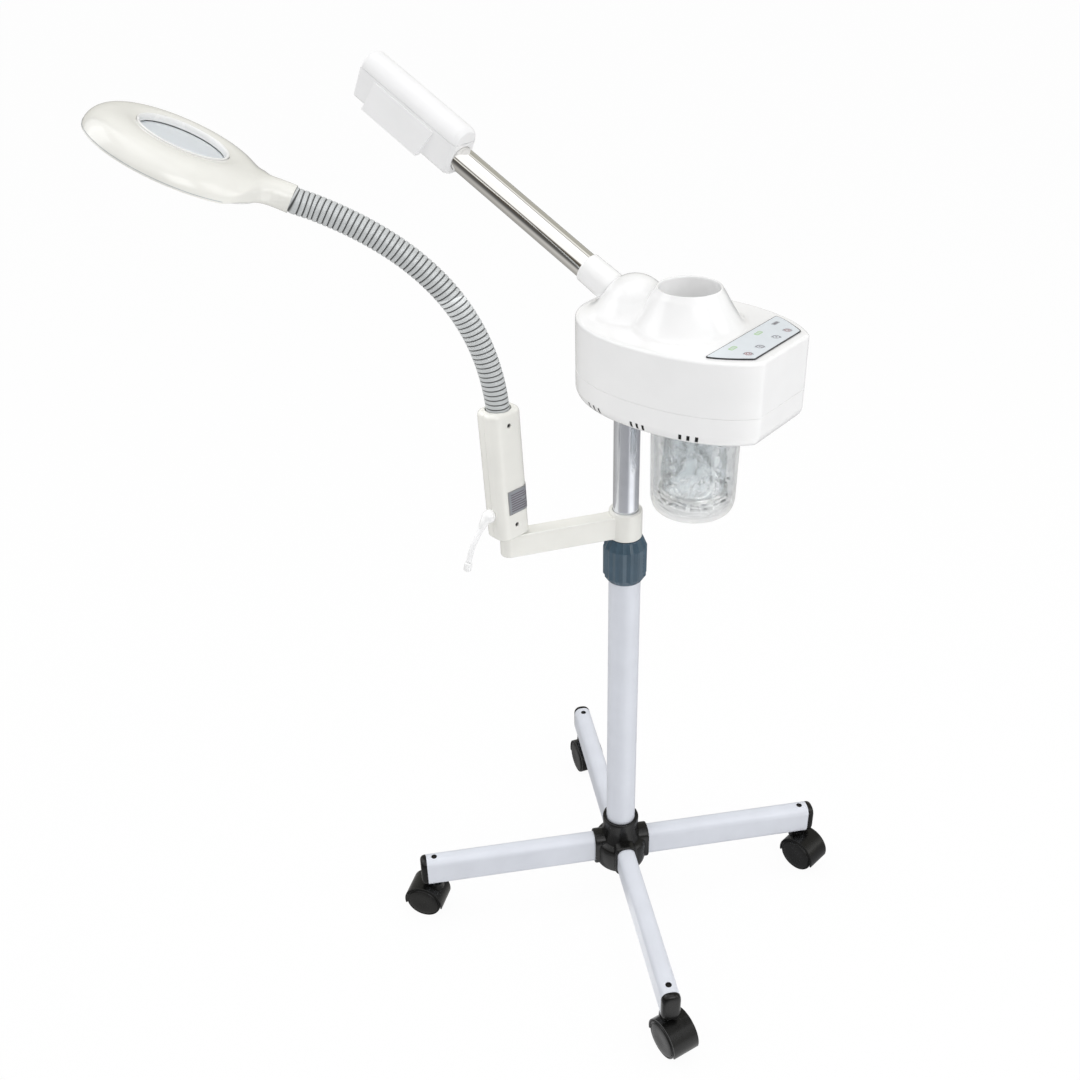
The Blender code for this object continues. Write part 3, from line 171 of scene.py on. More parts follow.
def make_camera():
    """The camera looks down at the stand from its front right, with a slight roll."""
    turn, rise, roll = (math.radians(a) for a in (CAMERA_TURN, CAMERA_RISE, CAMERA_ROLL))
    level = math.cos(rise)
    back = Vector((math.sin(turn) * level, -math.cos(turn) * level, math.sin(rise)))
    right = Vector((math.cos(turn), math.sin(turn), 0))
    up = back.cross(right)
    right, up = (
        right * math.cos(roll) + up * math.sin(roll),
        up * math.cos(roll) - right * math.sin(roll),
    )
    data = bpy.data.cameras.new("camera")
    data.sensor_width = 36
    data.lens = CAMERA_LENS
    data.clip_start = 0.01
    camera = shown("camera", data)
    matrix = Matrix((right, up, back)).transposed().to_4x4()
    matrix.translation = (COLUMN @ Vector(CAMERA_PLACE)) * MM
    camera.matrix_world = matrix
    bpy.context.scene.camera = camera


# name: place, aim and size in metres, and power in watts
LIGHTS = {
    "key": ((1.9, -0.8, 1.6), (0.0, 0.0, 0.55), (1.3, 1.2), 9.5),
    "left_fill": ((-1.6, -1.0, 2.0), (0.0, 0.0, 0.5), (1.2, 1.6), 8),
    "right_fill": ((1.9, 0.9, 1.2), (0.0, 0.1, 0.5), (1.0, 1.5), 8),
    "top": ((0.1, 0.1, 2.6), (0.0, 0.0, 0.5), (2.0, 2.0), 6),
    "low_fill": ((-0.16, 0.0, 0.70), (-0.05, 0.0, 0.3), (0.3, 0.3), 0.3),
}


def area_light(name, at, aim, size, power):
    data = bpy.data.lights.new(name, "AREA")
    data.shape = "RECTANGLE"
    data.size, data.size_y = size
    data.energy = power
    light = shown(name, data)
    light.location = at
    light.rotation_euler = (Vector(aim) - Vector(at)).to_track_quat("-Z", "Y").to_euler()
    return light


def make_world():
    """White to the eye and through glass; gloss sees a banded room, and the rest a soft sky."""
    world = bpy.data.worlds.new("studio")
    bpy.context.scene.world = world
    world.use_nodes = True
    tree = world.node_tree
    tree.nodes.clear()
    add = tree.nodes.new
    place = add("ShaderNodeTexCoord")
    parts = add("ShaderNodeSeparateXYZ")
    put(parts, Vector=place.outputs["Generated"])
    behind = math_node(tree, "MULTIPLY", parts.outputs["Y"], -1.0)
    turn = share_of_turn(tree, parts.outputs["Z"], behind)
    banded = background(tree, ramped(tree, turn, ROOM_BANDS), 1.0)
    height = add("ShaderNodeMapRange")
    put(height, From_Min=-1, Value=parts.outputs["Z"])
    sky = background(tree, ramped(tree, height.outputs["Result"], SKY_BANDS), SKY_STRENGTH)
    white = add("ShaderNodeBackground")
    put(white, Color=(1, 1, 1, 1))
    path = add("ShaderNodeLightPath")
    glossy = mixed(tree, path.outputs["Is Glossy Ray"], sky, banded)
    seen, through = path.outputs["Is Camera Ray"], path.outputs["Is Transmission Ray"]
    clear = math_node(tree, "MAXIMUM", seen, through)
    out = add("ShaderNodeOutputWorld")
    put(out, Surface=mixed(tree, clear, glossy, white.outputs[0]))


def put(node, **values):
    """Set or link a node's inputs; an underscore stands for a space in an input's name."""
    for name, value in values.items():
        socket = node.inputs[name.replace("_", " ")]
        if isinstance(value, bpy.types.NodeSocket):
            node.id_data.links.new(value, socket)
        else:
            socket.default_value = value


def math_node(tree, operation, first, second):
    made = tree.nodes.new("ShaderNodeMath")
    made.operation = operation
    tree.links.new(first, made.inputs[0])
    if isinstance(second, float):
        made.inputs[1].default_value = second
    else:
        tree.links.new(second, made.inputs[1])
    return made.outputs[0]


def share_of_turn(tree, rise, run):
    """The direction of two coordinates, from 0 to 1 for half a turn either way."""
    spread = tree.nodes.new("ShaderNodeMapRange")
    put(spread, From_Min=-math.pi, From_Max=math.pi, Value=math_node(tree, "ARCTAN2", rise, run))
    return spread.outputs["Result"]


def background(tree, colour, strength):
    made = tree.nodes.new("ShaderNodeBackground")
    put(made, Strength=strength, Color=colour)
    return made.outputs[0]


def mixed(tree, share, first, second):
    made = tree.nodes.new("ShaderNodeMixShader")
    put(made, Fac=share)
    tree.links.new(first, made.inputs[1])
    tree.links.new(second, made.inputs[2])
    return made.outputs[0]


def turn_stop(degrees):
    """Where on the banded ramp an angle stands, up from the horizon in front and over the top."""
    return (degrees + 180.0) / 360.0


def set_ramp(ramp, stops):
    """Give a colour ramp the stops (position, colour)."""
    elements = ramp.color_ramp.elements
    while len(elements) > 1:
        elements.remove(elements[-1])
    for i, (position, colour) in enumerate(stops):
        stop = elements[0] if i == 0 else elements.new(position)
        stop.position = position
        stop.color = (*colour, 1)


# The room that gloss sees, by the angle up from the horizon in front of the stand
ROOM_BANDS = (
    (turn_stop(-180), (0.46, 0.44, 0.40)),
    (turn_stop(-90), (0.50, 0.48, 0.44)),
    (turn_stop(-20), (0.20, 0.175, 0.14)),
    (turn_stop(-4), (0.10, 0.085, 0.07)),
    (turn_stop(17), (0.09, 0.078, 0.062)),
    (turn_stop(24), (0.30, 0.28, 0.25)),
    (turn_stop(29), (1.15, 1.15, 1.15)),
    (turn_stop(101), (1.15, 1.15, 1.15)),
    (turn_stop(104), (0.06, 0.055, 0.05)),
    (turn_stop(110), (0.07, 0.065, 0.055)),
    (turn_stop(114), (0.46, 0.45, 0.40)),
    (turn_stop(180), (0.50, 0.49, 0.44)),
)
SKY_STRENGTH = 0.55
SKY_BANDS = (
    (0.0, (0.60, 0.60, 0.60)),
    (0.5, (0.60, 0.60, 0.61)),
    (0.75, (1.15, 1.15, 1.15)),
    (1.0, (1.9, 1.9, 1.9)),
)

# What gloss sees of the floor, by the direction from the column: 0 is -X, then -Y, +X and +Y
FLOOR_BANDS = (
    (0.0, (0.40, 0.39, 0.37)),
    (0.12, (0.62, 0.61, 0.59)),
    (0.22, (0.42, 0.42, 0.42)),
    (0.40, (0.40, 0.40, 0.41)),
    (0.465, (1.25, 1.25, 1.25)),
    (0.535, (1.25, 1.25, 1.25)),
    (0.60, (0.40, 0.40, 0.41)),
    (0.72, (0.34, 0.34, 0.35)),
    (1.0, (0.40, 0.39, 0.37)),
)

# How that fades with distance, out to so many metres
FLOOR_REACH = 8.0
FLOOR_FADE = (
    (0.0, (1.05, 1.05, 1.05)),
    (0.17, (1.0, 1.0, 1.0)),
    (0.28, (0.52, 0.52, 0.52)),
    (0.42, (0.22, 0.22, 0.22)),
    (1.0, (0.17, 0.17, 0.17)),
)
FLOOR_GLOW = 0.95
FLOOR_HALF = 60.0
FLOOR_STEPS = 24


def make_floor():
    """A large pale floor, near white to the eye and greyer to mirrors."""
    bm = bmesh.new()
    places = [FLOOR_HALF * (2 * i / FLOOR_STEPS - 1) for i in range(FLOOR_STEPS + 1)]
    rows = [[bm.verts.new((x, y, 0)) for x in places] for y in places]
    for j in range(FLOOR_STEPS):
        for i in range(FLOOR_STEPS):
            bm.faces.new((rows[j][i], rows[j][i + 1], rows[j + 1][i + 1], rows[j + 1][i]))
    mesh = bpy.data.meshes.new("floor")
    bm.to_mesh(mesh)
    bm.free()
    floor = shown("floor", mesh)
    made = bpy.data.materials.new("floor")
    made.use_nodes = True
    tree = made.node_tree
    add = tree.nodes.new
    shader = tree.nodes["Principled BSDF"]
    put(shader, Base_Color=(0.9, 0.9, 0.9, 1), Roughness=0.9, Specular_IOR_Level=0.0)
    white = add("ShaderNodeEmission")
    put(white, Color=(1, 1, 1, 1))
    path = add("ShaderNodeLightPath")
    share = math_node(tree, "MULTIPLY", path.outputs["Is Camera Ray"], FLOOR_GLOW)
    seen = mixed(tree, share, shader.outputs["BSDF"], white.outputs[0])
    place = add("ShaderNodeNewGeometry")
    parts = add("ShaderNodeSeparateXYZ")
    put(parts, Vector=place.outputs["Position"])
    turn = share_of_turn(tree, parts.outputs["Y"], parts.outputs["X"])
    glow = add("ShaderNodeEmission")
    put(glow, Color=ramped(tree, turn, FLOOR_BANDS))
    away = add("ShaderNodeVectorMath")
    away.operation = "LENGTH"
    tree.links.new(place.outputs["Position"], away.inputs[0])
    share = math_node(tree, "DIVIDE", away.outputs["Value"], FLOOR_REACH)
    put(glow, Strength=ramped(tree, share, FLOOR_FADE))
    both = mixed(tree, path.outputs["Is Glossy Ray"], seen, glow.outputs[0])
    through = mixed(tree, path.outputs["Is Transmission Ray"], both, white.outputs[0])
    put(tree.nodes["Material Output"], Surface=through)
    mesh.materials.append(made)


def make_light():
    """Soft lights all round, and a weak one under the steamer that no camera or mirror sees."""
    made = {name: area_light(name, *light) for name, light in LIGHTS.items()}
    made["low_fill"].visible_camera = False
    made["low_fill"].visible_glossy = False
    view = bpy.context.scene.view_settings
    view.view_transform = "Standard"
    view.look = "None"


# ---------------------------------------------------------------- materials

# name: colour, roughness, metallic, tone change, grain size in mm, grain height in mm
FINISHES = {
    "white_plastic": ((0.925, 0.925, 0.925), 0.20, 0.0, 0.012, 1.6, 0.006),
    "matt_white": ((0.92, 0.92, 0.925), 0.36, 0.0, 0.015, 0.7, 0.012),
    "lens_trim": ((0.88, 0.88, 0.87), 0.25, 0.0, 0.01, 1.0, 0.004),
    "ivory_plastic": ((0.845, 0.84, 0.795), 0.20, 0.0, 0.02, 1.8, 0.006),
    "white_paint": ((0.70, 0.725, 0.785), 0.34, 0.0, 0.025, 1.1, 0.014),
    "slate_plastic": ((0.062, 0.104, 0.142), 0.15, 0.0, 0.10, 0.9, 0.010),
    "silver_paint": ((0.76, 0.78, 0.83), 0.19, 0.85, 0.05, 0.5, 0.004),
    "black_plastic": ((0.005, 0.005, 0.0048), 0.27, 0.0, 0.25, 0.55, 0.014),
    "gooseneck_metal": ((0.60, 0.62, 0.625), 0.40, 0.10, 0.08, 0.6, 0.006),
    "chrome": ((0.88, 0.87, 0.85), 0.035, 1.0, 0.01, 30.0, 0.0004),
    "steel": ((0.42, 0.42, 0.43), 0.30, 1.0, 0.10, 0.5, 0.006),
    "bright_steel": ((0.72, 0.72, 0.71), 0.12, 1.0, 0.06, 2.0, 0.02),
    "dark_steel": ((0.10, 0.10, 0.10), 0.35, 0.9, 0.25, 0.8, 0.02),
    "brushed_plate": ((0.36, 0.38, 0.41), 0.34, 0.7, 0.08, 0.35, 0.010),
    "circuit_board": ((0.03, 0.16, 0.06), 0.45, 0.0, 0.12, 1.2, 0.02),
    "led": ((0.93, 0.90, 0.62), 0.25, 0.0, 0.02, 0.8, 0.004),
    "panel_film": ((0.73, 0.775, 0.81), 0.34, 0.0, 0.03, 0.5, 0.005),
    "black_print": ((0.02, 0.02, 0.025), 0.35, 0.0, 0.10, 0.5, 0.002),
    "red_print": ((0.30, 0.10, 0.11), 0.40, 0.0, 0.15, 0.5, 0.002),
    "grey_print": ((0.17, 0.14, 0.17), 0.40, 0.0, 0.15, 0.5, 0.002),
    "green_print": ((0.42, 0.62, 0.34), 0.40, 0.0, 0.15, 0.5, 0.002),
    "pale_print": ((0.45, 0.48, 0.50), 0.40, 0.0, 0.10, 0.5, 0.002),
}
DULL = {"black_plastic": 0.34, "gooseneck_metal": 0.35}
COATED = {"white_plastic": 0.35, "ivory_plastic": 0.4, "white_paint": 0.10}
TONE_SIZE = 28.0
SMEAR_SIZE = 9.0


def noise_at(tree, size, detail=3.0, stretch=None):
    """Noise in object space whose features are about size millimetres across."""
    place = tree.nodes.new("ShaderNodeTexCoord")
    texture = tree.nodes.new("ShaderNodeTexNoise")
    put(texture, Scale=1 / (size * MM), Detail=detail)
    source = place.outputs["Object"]
    if stretch:
        mapping = tree.nodes.new("ShaderNodeMapping")
        put(mapping, Scale=stretch, Vector=source)
        source = mapping.outputs["Vector"]
    put(texture, Vector=source)
    return texture.outputs["Fac"]


def remap(tree, value, low, high):
    node = tree.nodes.new("ShaderNodeMapRange")
    put(node, From_Min=0.3, From_Max=0.7, To_Min=low, To_Max=high, Value=value)
    return node.outputs["Result"]


def ramped(tree, value, stops):
    ramp = tree.nodes.new("ShaderNodeValToRGB")
    set_ramp(ramp, stops)
    put(ramp, Fac=value)
    return ramp.outputs["Color"]


def bumped(tree, shader, value, height):
    bump = tree.nodes.new("ShaderNodeBump")
    put(bump, Distance=height * MM, Height=value)
    put(shader, Normal=bump.outputs["Normal"])
    return bump


def shade(colour, factor):
    return tuple(min(c * factor, 1.0) for c in colour)


MADE = {}


def material(name):
    """The named finish, made on first use."""
    if name in MADE:
        return MADE[name]
    made = bpy.data.materials.new(name + "_finish")
    MADE[name] = made
    made.use_nodes = True
    tree = made.node_tree
    shader = tree.nodes["Principled BSDF"]
    if name in CLEAR:
        CLEAR[name](tree, shader)
        return made
    colour, roughness, metallic, tone, grain, height = FINISHES[name]
    stops = ((0.3, shade(colour, 1 - tone)), (0.7, shade(colour, 1 + tone)))
    put(shader, Base_Color=ramped(tree, noise_at(tree, TONE_SIZE), stops), Metallic=metallic)
    smear = remap(tree, noise_at(tree, SMEAR_SIZE, 5.0), roughness * 0.88, roughness * 1.14)
    put(shader, Roughness=smear)
    stretch = (1, 1, 0.05) if name == "brushed_plate" else None
    bumped(tree, shader, noise_at(tree, grain, 2.0, stretch), height)
    if name in COATED:
        put(shader, Coat_Weight=COATED[name], Coat_Roughness=0.08)
    if name == "gooseneck_metal":
        # the coil's grooves are painted dark, as shade
        paint_groove_shade(tree, shader, colour)
    if name in DULL:
        put(shader, Specular_IOR_Level=DULL[name])
    if name == "led":
        put(shader, Subsurface_Weight=0.2)
    return made


def paint_groove_shade(tree, shader, colour):
    """Painted shade in the gooseneck's grooves, from the depth kept on its mesh."""
    depth = tree.nodes.new("ShaderNodeAttribute")
    depth.attribute_name = "ridge"
    stops = (
        (0.0, shade(colour, 0.10)),
        (0.35, shade(colour, 0.22)),
        (0.75, shade(colour, 0.80)),
        (1.0, shade(colour, 1.0)),
    )
    put(shader, Base_Color=ramped(tree, depth.outputs["Fac"], stops))


def clear_glass(tree, shader):
    """Clear plastic: part refracts and part lets light straight in, so its contents stay bright."""
    put(shader, Base_Color=(0.97, 0.985, 0.985, 1), Transmission_Weight=1.0, IOR=1.45)
    put(shader, Roughness=remap(tree, noise_at(tree, 14.0), 0.0, 0.02))
    put(shader, Alpha=remap(tree, noise_at(tree, 30.0), 0.36, 0.44))
    bumped(tree, shader, noise_at(tree, 22.0, 1.0), 0.05)


def clear_water(tree, shader):
    """Water as a thin tint with gloss, so that what is in it stays bright."""
    put(shader, Base_Color=(0.80, 0.88, 0.93, 1), IOR=1.33, Roughness=0.04)
    put(shader, Alpha=remap(tree, noise_at(tree, 16.0, 3.0), 0.03, 0.10))
    bumped(tree, shader, noise_at(tree, 9.0, 3.0), 0.5)


def froth_glint_and_shade(tree, shader):
    """Froth and bubbles, opaque: bright, partly as froth and partly as painted highlight, with dark
    flecks of painted shade.
    """
    # the near black stop is painted shade and the near white stop partly painted highlight
    stops = ((0.46, (0.02, 0.022, 0.022)), (0.52, (0.40, 0.42, 0.43)), (0.60, (0.97, 0.98, 0.98)))
    put(shader, Base_Color=ramped(tree, noise_at(tree, 6.0, 1.0), stops), Roughness=0.05)
    bumped(tree, shader, noise_at(tree, 3.0, 1.0), 0.1)


def foam_film(tree, shader):
    """Boiling water seen as pale bluish sheets with thin dark rims, which are painted shade along
    the sheets' folds.
    """
    swirl = noise_at(tree, 12.0, 2.5)
    pale, rim = (0.86, 0.93, 0.965), (0.03, 0.035, 0.035)
    # the narrow dark band of this ramp is painted shade
    tints = ((0.0, pale), (0.482, pale), (0.488, rim), (0.496, rim), (0.502, pale))
    tints += ((1.0, (0.97, 0.99, 1.0)),)
    put(shader, Base_Color=ramped(tree, swirl, tints))
    covers = ((0.35, 0.46), (0.45, 0.24), (0.480, 0.10), (0.488, 0.80))
    covers += ((0.496, 0.80), (0.504, 0.10), (0.60, 0.46))
    shares = [(at, (cover, cover, cover)) for at, cover in covers]
    put(shader, Alpha=ramped(tree, swirl, shares), Roughness=0.06, IOR=1.33)
    bumped(tree, shader, noise_at(tree, 6.0, 4.0), 1.6)


def lens_glass(tree, shader):
    """The lens: pale and slightly frosted."""
    put(shader, Base_Color=(0.86, 0.90, 0.93, 1), Transmission_Weight=0.3, IOR=1.5)
    put(shader, Roughness=remap(tree, noise_at(tree, 18.0), 0.36, 0.42))
    bumped(tree, shader, noise_at(tree, 40.0, 1.0), 0.004)


CLEAR = {
    "glass": clear_glass,
    "water": clear_water,
    "bubble": froth_glint_and_shade,
    "foam": foam_film,
    "lens_glass": lens_glass,
}


# ---------------------------------------------------------------- making pieces


def piece(
    name,
    shape,
    finish,
    body,
    place=COLUMN,
    replaces=(),
    bevel=0.0,
    segments=3,
    angle=38,
    weighted=True,
):
    """One shown piece from a bmesh in millimetres, riding on a CAD body."""
    shape.transform(Matrix.Scale(MM, 4) @ place)
    bmesh.ops.recalc_face_normals(shape, faces=shape.faces)
    mesh = bpy.data.meshes.new(name)
    shape.to_mesh(mesh)
    shape.free()
    mesh.shade_smooth()
    mesh.set_sharp_from_angle(angle=math.radians(angle))
    made = shown(name, mesh)
    mesh.materials.append(material(finish))
    if bevel:
        soft = made.modifiers.new("soft_edges", "BEVEL")
        soft.width = bevel * MM
        soft.segments = segments
        soft.limit_method = "ANGLE"
        soft.angle_limit = math.radians(angle)
        soft.use_clamp_overlap = True
    if weighted:
        even = made.modifiers.new("even_shading", "WEIGHTED_NORMAL")
        even.keep_sharp = True
    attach(made, body)
    if replaces:
        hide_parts(*replaces)
    return made


def dress(node, finish):
    """Give a CAD node that stays a finish of its own."""
    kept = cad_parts[node]
    kept.data.materials.clear()
    kept.data.materials.append(material(finish))


def loft(rings, closed=False):
    """Skin rings of equally many points; closed joins the last ring to the first."""
    bm = bmesh.new()
    made = [[bm.verts.new(p) for p in ring] for ring in rings]
    count = len(made[0])
    pairs = list(zip(made, made[1:]))
    if closed:
        pairs.append((made[-1], made[0]))
    for low, high in pairs:
        for i in range(count):
            j = (i + 1) % count
            bm.faces.new((low[i], low[j], high[j], high[i]))
    if not closed:
        bm.faces.new(list(reversed(made[0])))
        bm.faces.new(made[-1])
    bmesh.ops.remove_doubles(bm, verts=bm.verts, dist=0.0005)
    bmesh.ops.recalc_face_normals(bm, faces=bm.faces)
    return bm


def circle_at(radius, z, turns, centre=(0, 0)):
    """The points of a level circle at the given angles."""
    return [(centre[0] + radius * math.cos(a), centre[1] + radius * math.sin(a), z) for a in turns]


def circle(radius, z, count=72):
    return circle_at(radius, z, [2 * math.pi * i / count for i in range(count)])


def soften(points, radius, closed=True, steps=4):
    """Round the corners of a flat outline or profile."""
    done = []
    count = len(points)
    for i, p in enumerate(points):
        here = Vector(p)
        if not closed and i in (0, count - 1):
            done.append(tuple(here))
            continue
        before, after = Vector(points[i - 1]), Vector(points[(i + 1) % count])
        a, b = before - here, after - here
        if a.length < 1e-6 or b.length < 1e-6 or math.pi - a.angle(b) < math.radians(14):
            done.append(tuple(here))
            continue
        reach = min(radius, a.length * 0.48, b.length * 0.48)
        start, end = here + a.normalized() * reach, here + b.normalized() * reach
        for k in range(steps + 1):
            t = k / steps
            done.append(tuple(start * (1 - t) ** 2 + here * (2 * t * (1 - t)) + end * t * t))
    return done


# A turned profile that reaches the axis stops this short of it
AXIS_GAP = 0.05


def turned_ring(profile, count=72, soft=0.0):
    """A turned piece with a bore; the profile is a closed loop of (radius, height)."""
    if soft:
        profile = soften(profile, soft)
    return loft([circle(r, z, count) for r, z in profile], closed=True)


def turned_solid(profile, count=72, soft=0.0):
    """A turned piece without a bore; the profile runs between its two end faces."""
    if soft:
        ends = [(AXIS_GAP, profile[0][1]), (AXIS_GAP, profile[-1][1])]
        profile = soften([ends[0], *profile, ends[1]], soft, closed=False)
    return loft([circle(r, z, count) for r, z in profile])


def cylinder(radius, low, high, count):
    return turned_solid([(radius, low), (radius, high)], count)


def rounded_rectangle(half_x, half_y, corner, steps=8):
    points = []
    for k, (sx, sy) in enumerate(((1, 1), (-1, 1), (-1, -1), (1, -1))):
        cx, cy = sx * (half_x - corner), sy * (half_y - corner)
        for i in range(steps + 1):
            x, y = polar(corner, math.radians(90 * k + 90 * i / steps))
            points.append((cx + x, cy + y))
    return points


def prism(outline, low, high):
    return loft([[(x, y, low) for x, y in outline], [(x, y, high) for x, y in outline]])


def box(low, high):
    (x0, y0, z0), (x1, y1, z1) = low, high
    return prism([(x0, y0), (x1, y0), (x1, y1), (x0, y1)], z0, z1)


def moved(bm, at=(0, 0, 0), turn=(0, 0, 0)):
    """A shape moved and turned where it is; the same shape comes back."""
    bm.transform(put_at(at, turn))
    return bm


def joined(*shapes):
    """Several shapes in one bmesh."""
    whole = bmesh.new()
    for shape in shapes:
        mesh = bpy.data.meshes.new("joined")
        shape.to_mesh(mesh)
        shape.free()
        whole.from_mesh(mesh)
        bpy.data.meshes.remove(mesh)
    return whole


def combined(base, other, operation):
    """The exact Boolean of two shapes; both are used up."""
    pair = []
    for shape in (base, other):
        mesh = bpy.data.meshes.new("operand")
        shape.to_mesh(mesh)
        shape.free()
        pair.append(shown("operand", mesh))
    modifier = pair[0].modifiers.new("boolean", "BOOLEAN")
    modifier.operation = operation
    modifier.solver = "EXACT"
    modifier.object = pair[1]
    graph = bpy.context.evaluated_depsgraph_get()
    result = bmesh.new()
    result.from_mesh(pair[0].evaluated_get(graph).to_mesh())
    for made in pair:
        used = made.data
        bpy.data.objects.remove(made, do_unlink=True)
        bpy.data.meshes.remove(used)
    bmesh.ops.remove_doubles(result, verts=result.verts, dist=0.002)
    bmesh.ops.dissolve_degenerate(result, edges=result.edges, dist=0.002)
    return result


def cut(base, *cutters):
    for cutter in cutters:
        base = combined(base, cutter, "DIFFERENCE")
    return base


def welded(base, *others):
    for other in others:
        base = combined(base, other, "UNION")
    return base


def sections(centres, shape_at, count=32):
    """Rings square to a curve of points; shape_at(i, angle) gives the radius."""
    rings = []
    side = None
    for i, centre in enumerate(centres):
        before = Vector(centres[max(i - 1, 0)])
        after = Vector(centres[min(i + 1, len(centres) - 1)])
        along = (after - before).normalized()
        if side is None:
            side = along.orthogonal().normalized()
        side = (side - along * side.dot(along)).normalized()
        up = along.cross(side)
        ring = []
        for k in range(count):
            a = 2 * math.pi * k / count
            ring.append(Vector(centre) + (side * math.cos(a) + up * math.sin(a)) * shape_at(i, a))
        rings.append(ring)
    return rings


def swept(centres, radii, count=32):
    return loft(sections(centres, lambda i, a: radii[i], count))


def curve_through(points, per_span):
    """Points on a smooth curve through the given ones."""
    knots = [Vector(p) for p in points]
    knots = [knots[0] * 2 - knots[1], *knots, knots[-1] * 2 - knots[-2]]
    made = []
    for p0, p1, p2, p3 in zip(knots, knots[1:], knots[2:], knots[3:]):
        for k in range(per_span):
            t = k / per_span
            bend, twist = p0 * 2 - p1 * 5 + p2 * 4 - p3, p1 * 3 - p0 - p2 * 3 + p3
            made.append((p1 * 2 + (p2 - p0) * t + bend * t * t + twist * t**3) / 2)
    return made + [knots[-2]]


def bezier(points, t):
    p0, p1, p2, p3 = (Vector(p) for p in points)
    s = 1 - t
    return p0 * s**3 + p1 * (3 * s * s * t) + p2 * (3 * s * t * t) + p3 * t**3


def blend_max(a, b, soft):
    """The larger of two numbers, rounded over where they are near each other."""
    h = max(soft - abs(a - b), 0.0) / soft
    return max(a, b) + h * h * soft / 4


# ---------------------------------------------------------------- lamp lead

# the connector's barrel: distance past the lead's end, and radius
BARREL = ((0.3, 2.7), (0.8, 3.3), (1.6, 3.6), (3.0, 3.7), (3.3, 3.45), (3.6, 3.7), (7.0, 3.6))
BARREL += ((8.0, 3.2), (8.7, 2.5), (9.1, 1.6), (9.2, 1.2))


def build_lead():
    """The short free lead: out of its boot, down in an easy curve, and into its barrel."""
    route = curve_through(LEAD_ROUTE, 2)
    data = bpy.data.curves.new("lead", "CURVE")
    data.dimensions = "3D"
    data.bevel_depth = LEAD_RADIUS * MM
    data.bevel_resolution = 8
    data.use_fill_caps = True
    spline = data.splines.new("POLY")
    spline.points.add(len(route) - 1)
    places = [(HANDLE @ p) * MM for p in route]
    for point, place in zip(spline.points, places):
        point.co = (*place, 1.0)
    lead = shown("lead", data)
    data.materials.append(material("matt_white"))
    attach(lead, "lamp_handle")
    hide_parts("lamp_lead")
    end = Vector(LEAD_ROUTE[-1])
    along = (end - Vector(LEAD_ROUTE[-2])).normalized()
    barrel = swept([end + along * t for t, _ in BARREL], [r for _, r in BARREL], 32)
    nodes = ("lead_connector",)
    connector = piece("lead_barrel", barrel, "white_plastic", "lamp_handle", HANDLE, nodes)


make_camera()
build_lead()


# ---------------------------------------------------------------- base

LEG_HALF = (10.0, 18.5)
LEG_CORNER = 8.5
LEG_START = 18.3
LEG_WALL = 1.6
CAP_START = 205.0
HUB_REACH = 31.2


def leg_ring(distance, inset=0.0, scale=1.0):
    """The leg's section, standing at a distance from the column."""
    outline = rounded_rectangle(LEG_HALF[0] - inset, LEG_HALF[1] - inset, LEG_CORNER - inset)
    return [(distance, y * scale, LEG_MID + z * scale) for y, z in outline]


def leg_shape():
    """The leg's tube, with the hole of its plug above and the way of the caster's stem below."""
    rings = [leg_ring(LEG_START), leg_ring(LEG_END - 0.5), leg_ring(LEG_END, 0.4)]
    rings += [leg_ring(LEG_END, LEG_WALL), leg_ring(LEG_START, LEG_WALL)]
    hole = cylinder(3.3, LEG_MID, LEG_TOP + 4, 32)
    stem = cylinder(4.6, 38, LEG_MID, 32)
    ways = [moved(way, (STEM_REACH, 0, 0)) for way in (hole, stem)]
    return cut(loft(rings, closed=True), *ways)


def leg_cap_shape():
    """The plug in a leg's end, with a domed head that is fuller in the middle."""
    rings = [leg_ring(CAP_START, 1.9), leg_ring(LEG_END + 0.3, 1.9), leg_ring(LEG_END + 0.3, 0.1)]
    for a in (0.0, *quarter_turn(8)):
        scale = 0.55 + 0.45 * math.cos(a) ** 0.55
        rings.append(leg_ring(LEG_END + 1.0 + 6.0 * math.sin(a), 0.0, scale))
    return loft(rings)


def leg_plug_shape():
    """The dished plug that fills the hole over the caster's stem."""
    profile = [(3.1, -3), (3.1, -0.3), (2.7, 0.1), (2.2, 0), (1.7, -0.8)]
    return turned_solid([(r, LEG_TOP + z) for r, z in profile], 32)


def hub_shape():
    """A round skirt, four sleeves with rounded tops, and the ring round the column."""
    skirt = [(27.2, 43), (28.6, 46), (29.6, 54), (29.8, 68), (28.8, 73.5), (25.5, 76.5), (20, 78.5)]
    skirt = soften([(AXIS_GAP, 43), *skirt, (AXIS_GAP, 79)], 2.0, closed=False)
    ring = [(23.5, 74), (21.6, 82), (20.2, 88), (19.8, 94), (20.3, 105.3), (19.6, 107.5)]
    ring = soften([(AXIS_GAP, 74), *ring, (AXIS_GAP, 107.5)], 1.2, closed=False)
    body = welded(turned_solid(skirt, 96), turned_solid(ring, 96))
    outer = rounded_rectangle(12.7, 21.2, 10.4)
    inner = rounded_rectangle(10.3, 18.8, 8.6)
    sleeve = ((12.0, 1.0), (29.6, 1.0), (30.7, 0.985), (HUB_REACH, 0.955))
    for quarter in range(4):
        body = welded(body, socket_loft(outer, sleeve, quarter))
    bore = turned_solid([(16.4, 52.2), (16.4, 106.2), (17.2, 107.6), (17.2, 112)], 96)
    body = cut(body, bore)
    for quarter in range(4):
        body = cut(body, socket_loft(inner, ((18.0, 1.0), (36.0, 1.0)), quarter))
    return body


def socket_loft(section, stations, quarter):
    """A leg-shaped block out from the column, as (distance, scale), in one of four directions."""
    rings = [[(d, y * s, LEG_MID + z * s) for y, z in section] for d, s in stations]
    return moved(loft(rings), turn=(0, 0, 90 * quarter))


HOOD_BORE = 20.7
WEB_HALF = 3.7


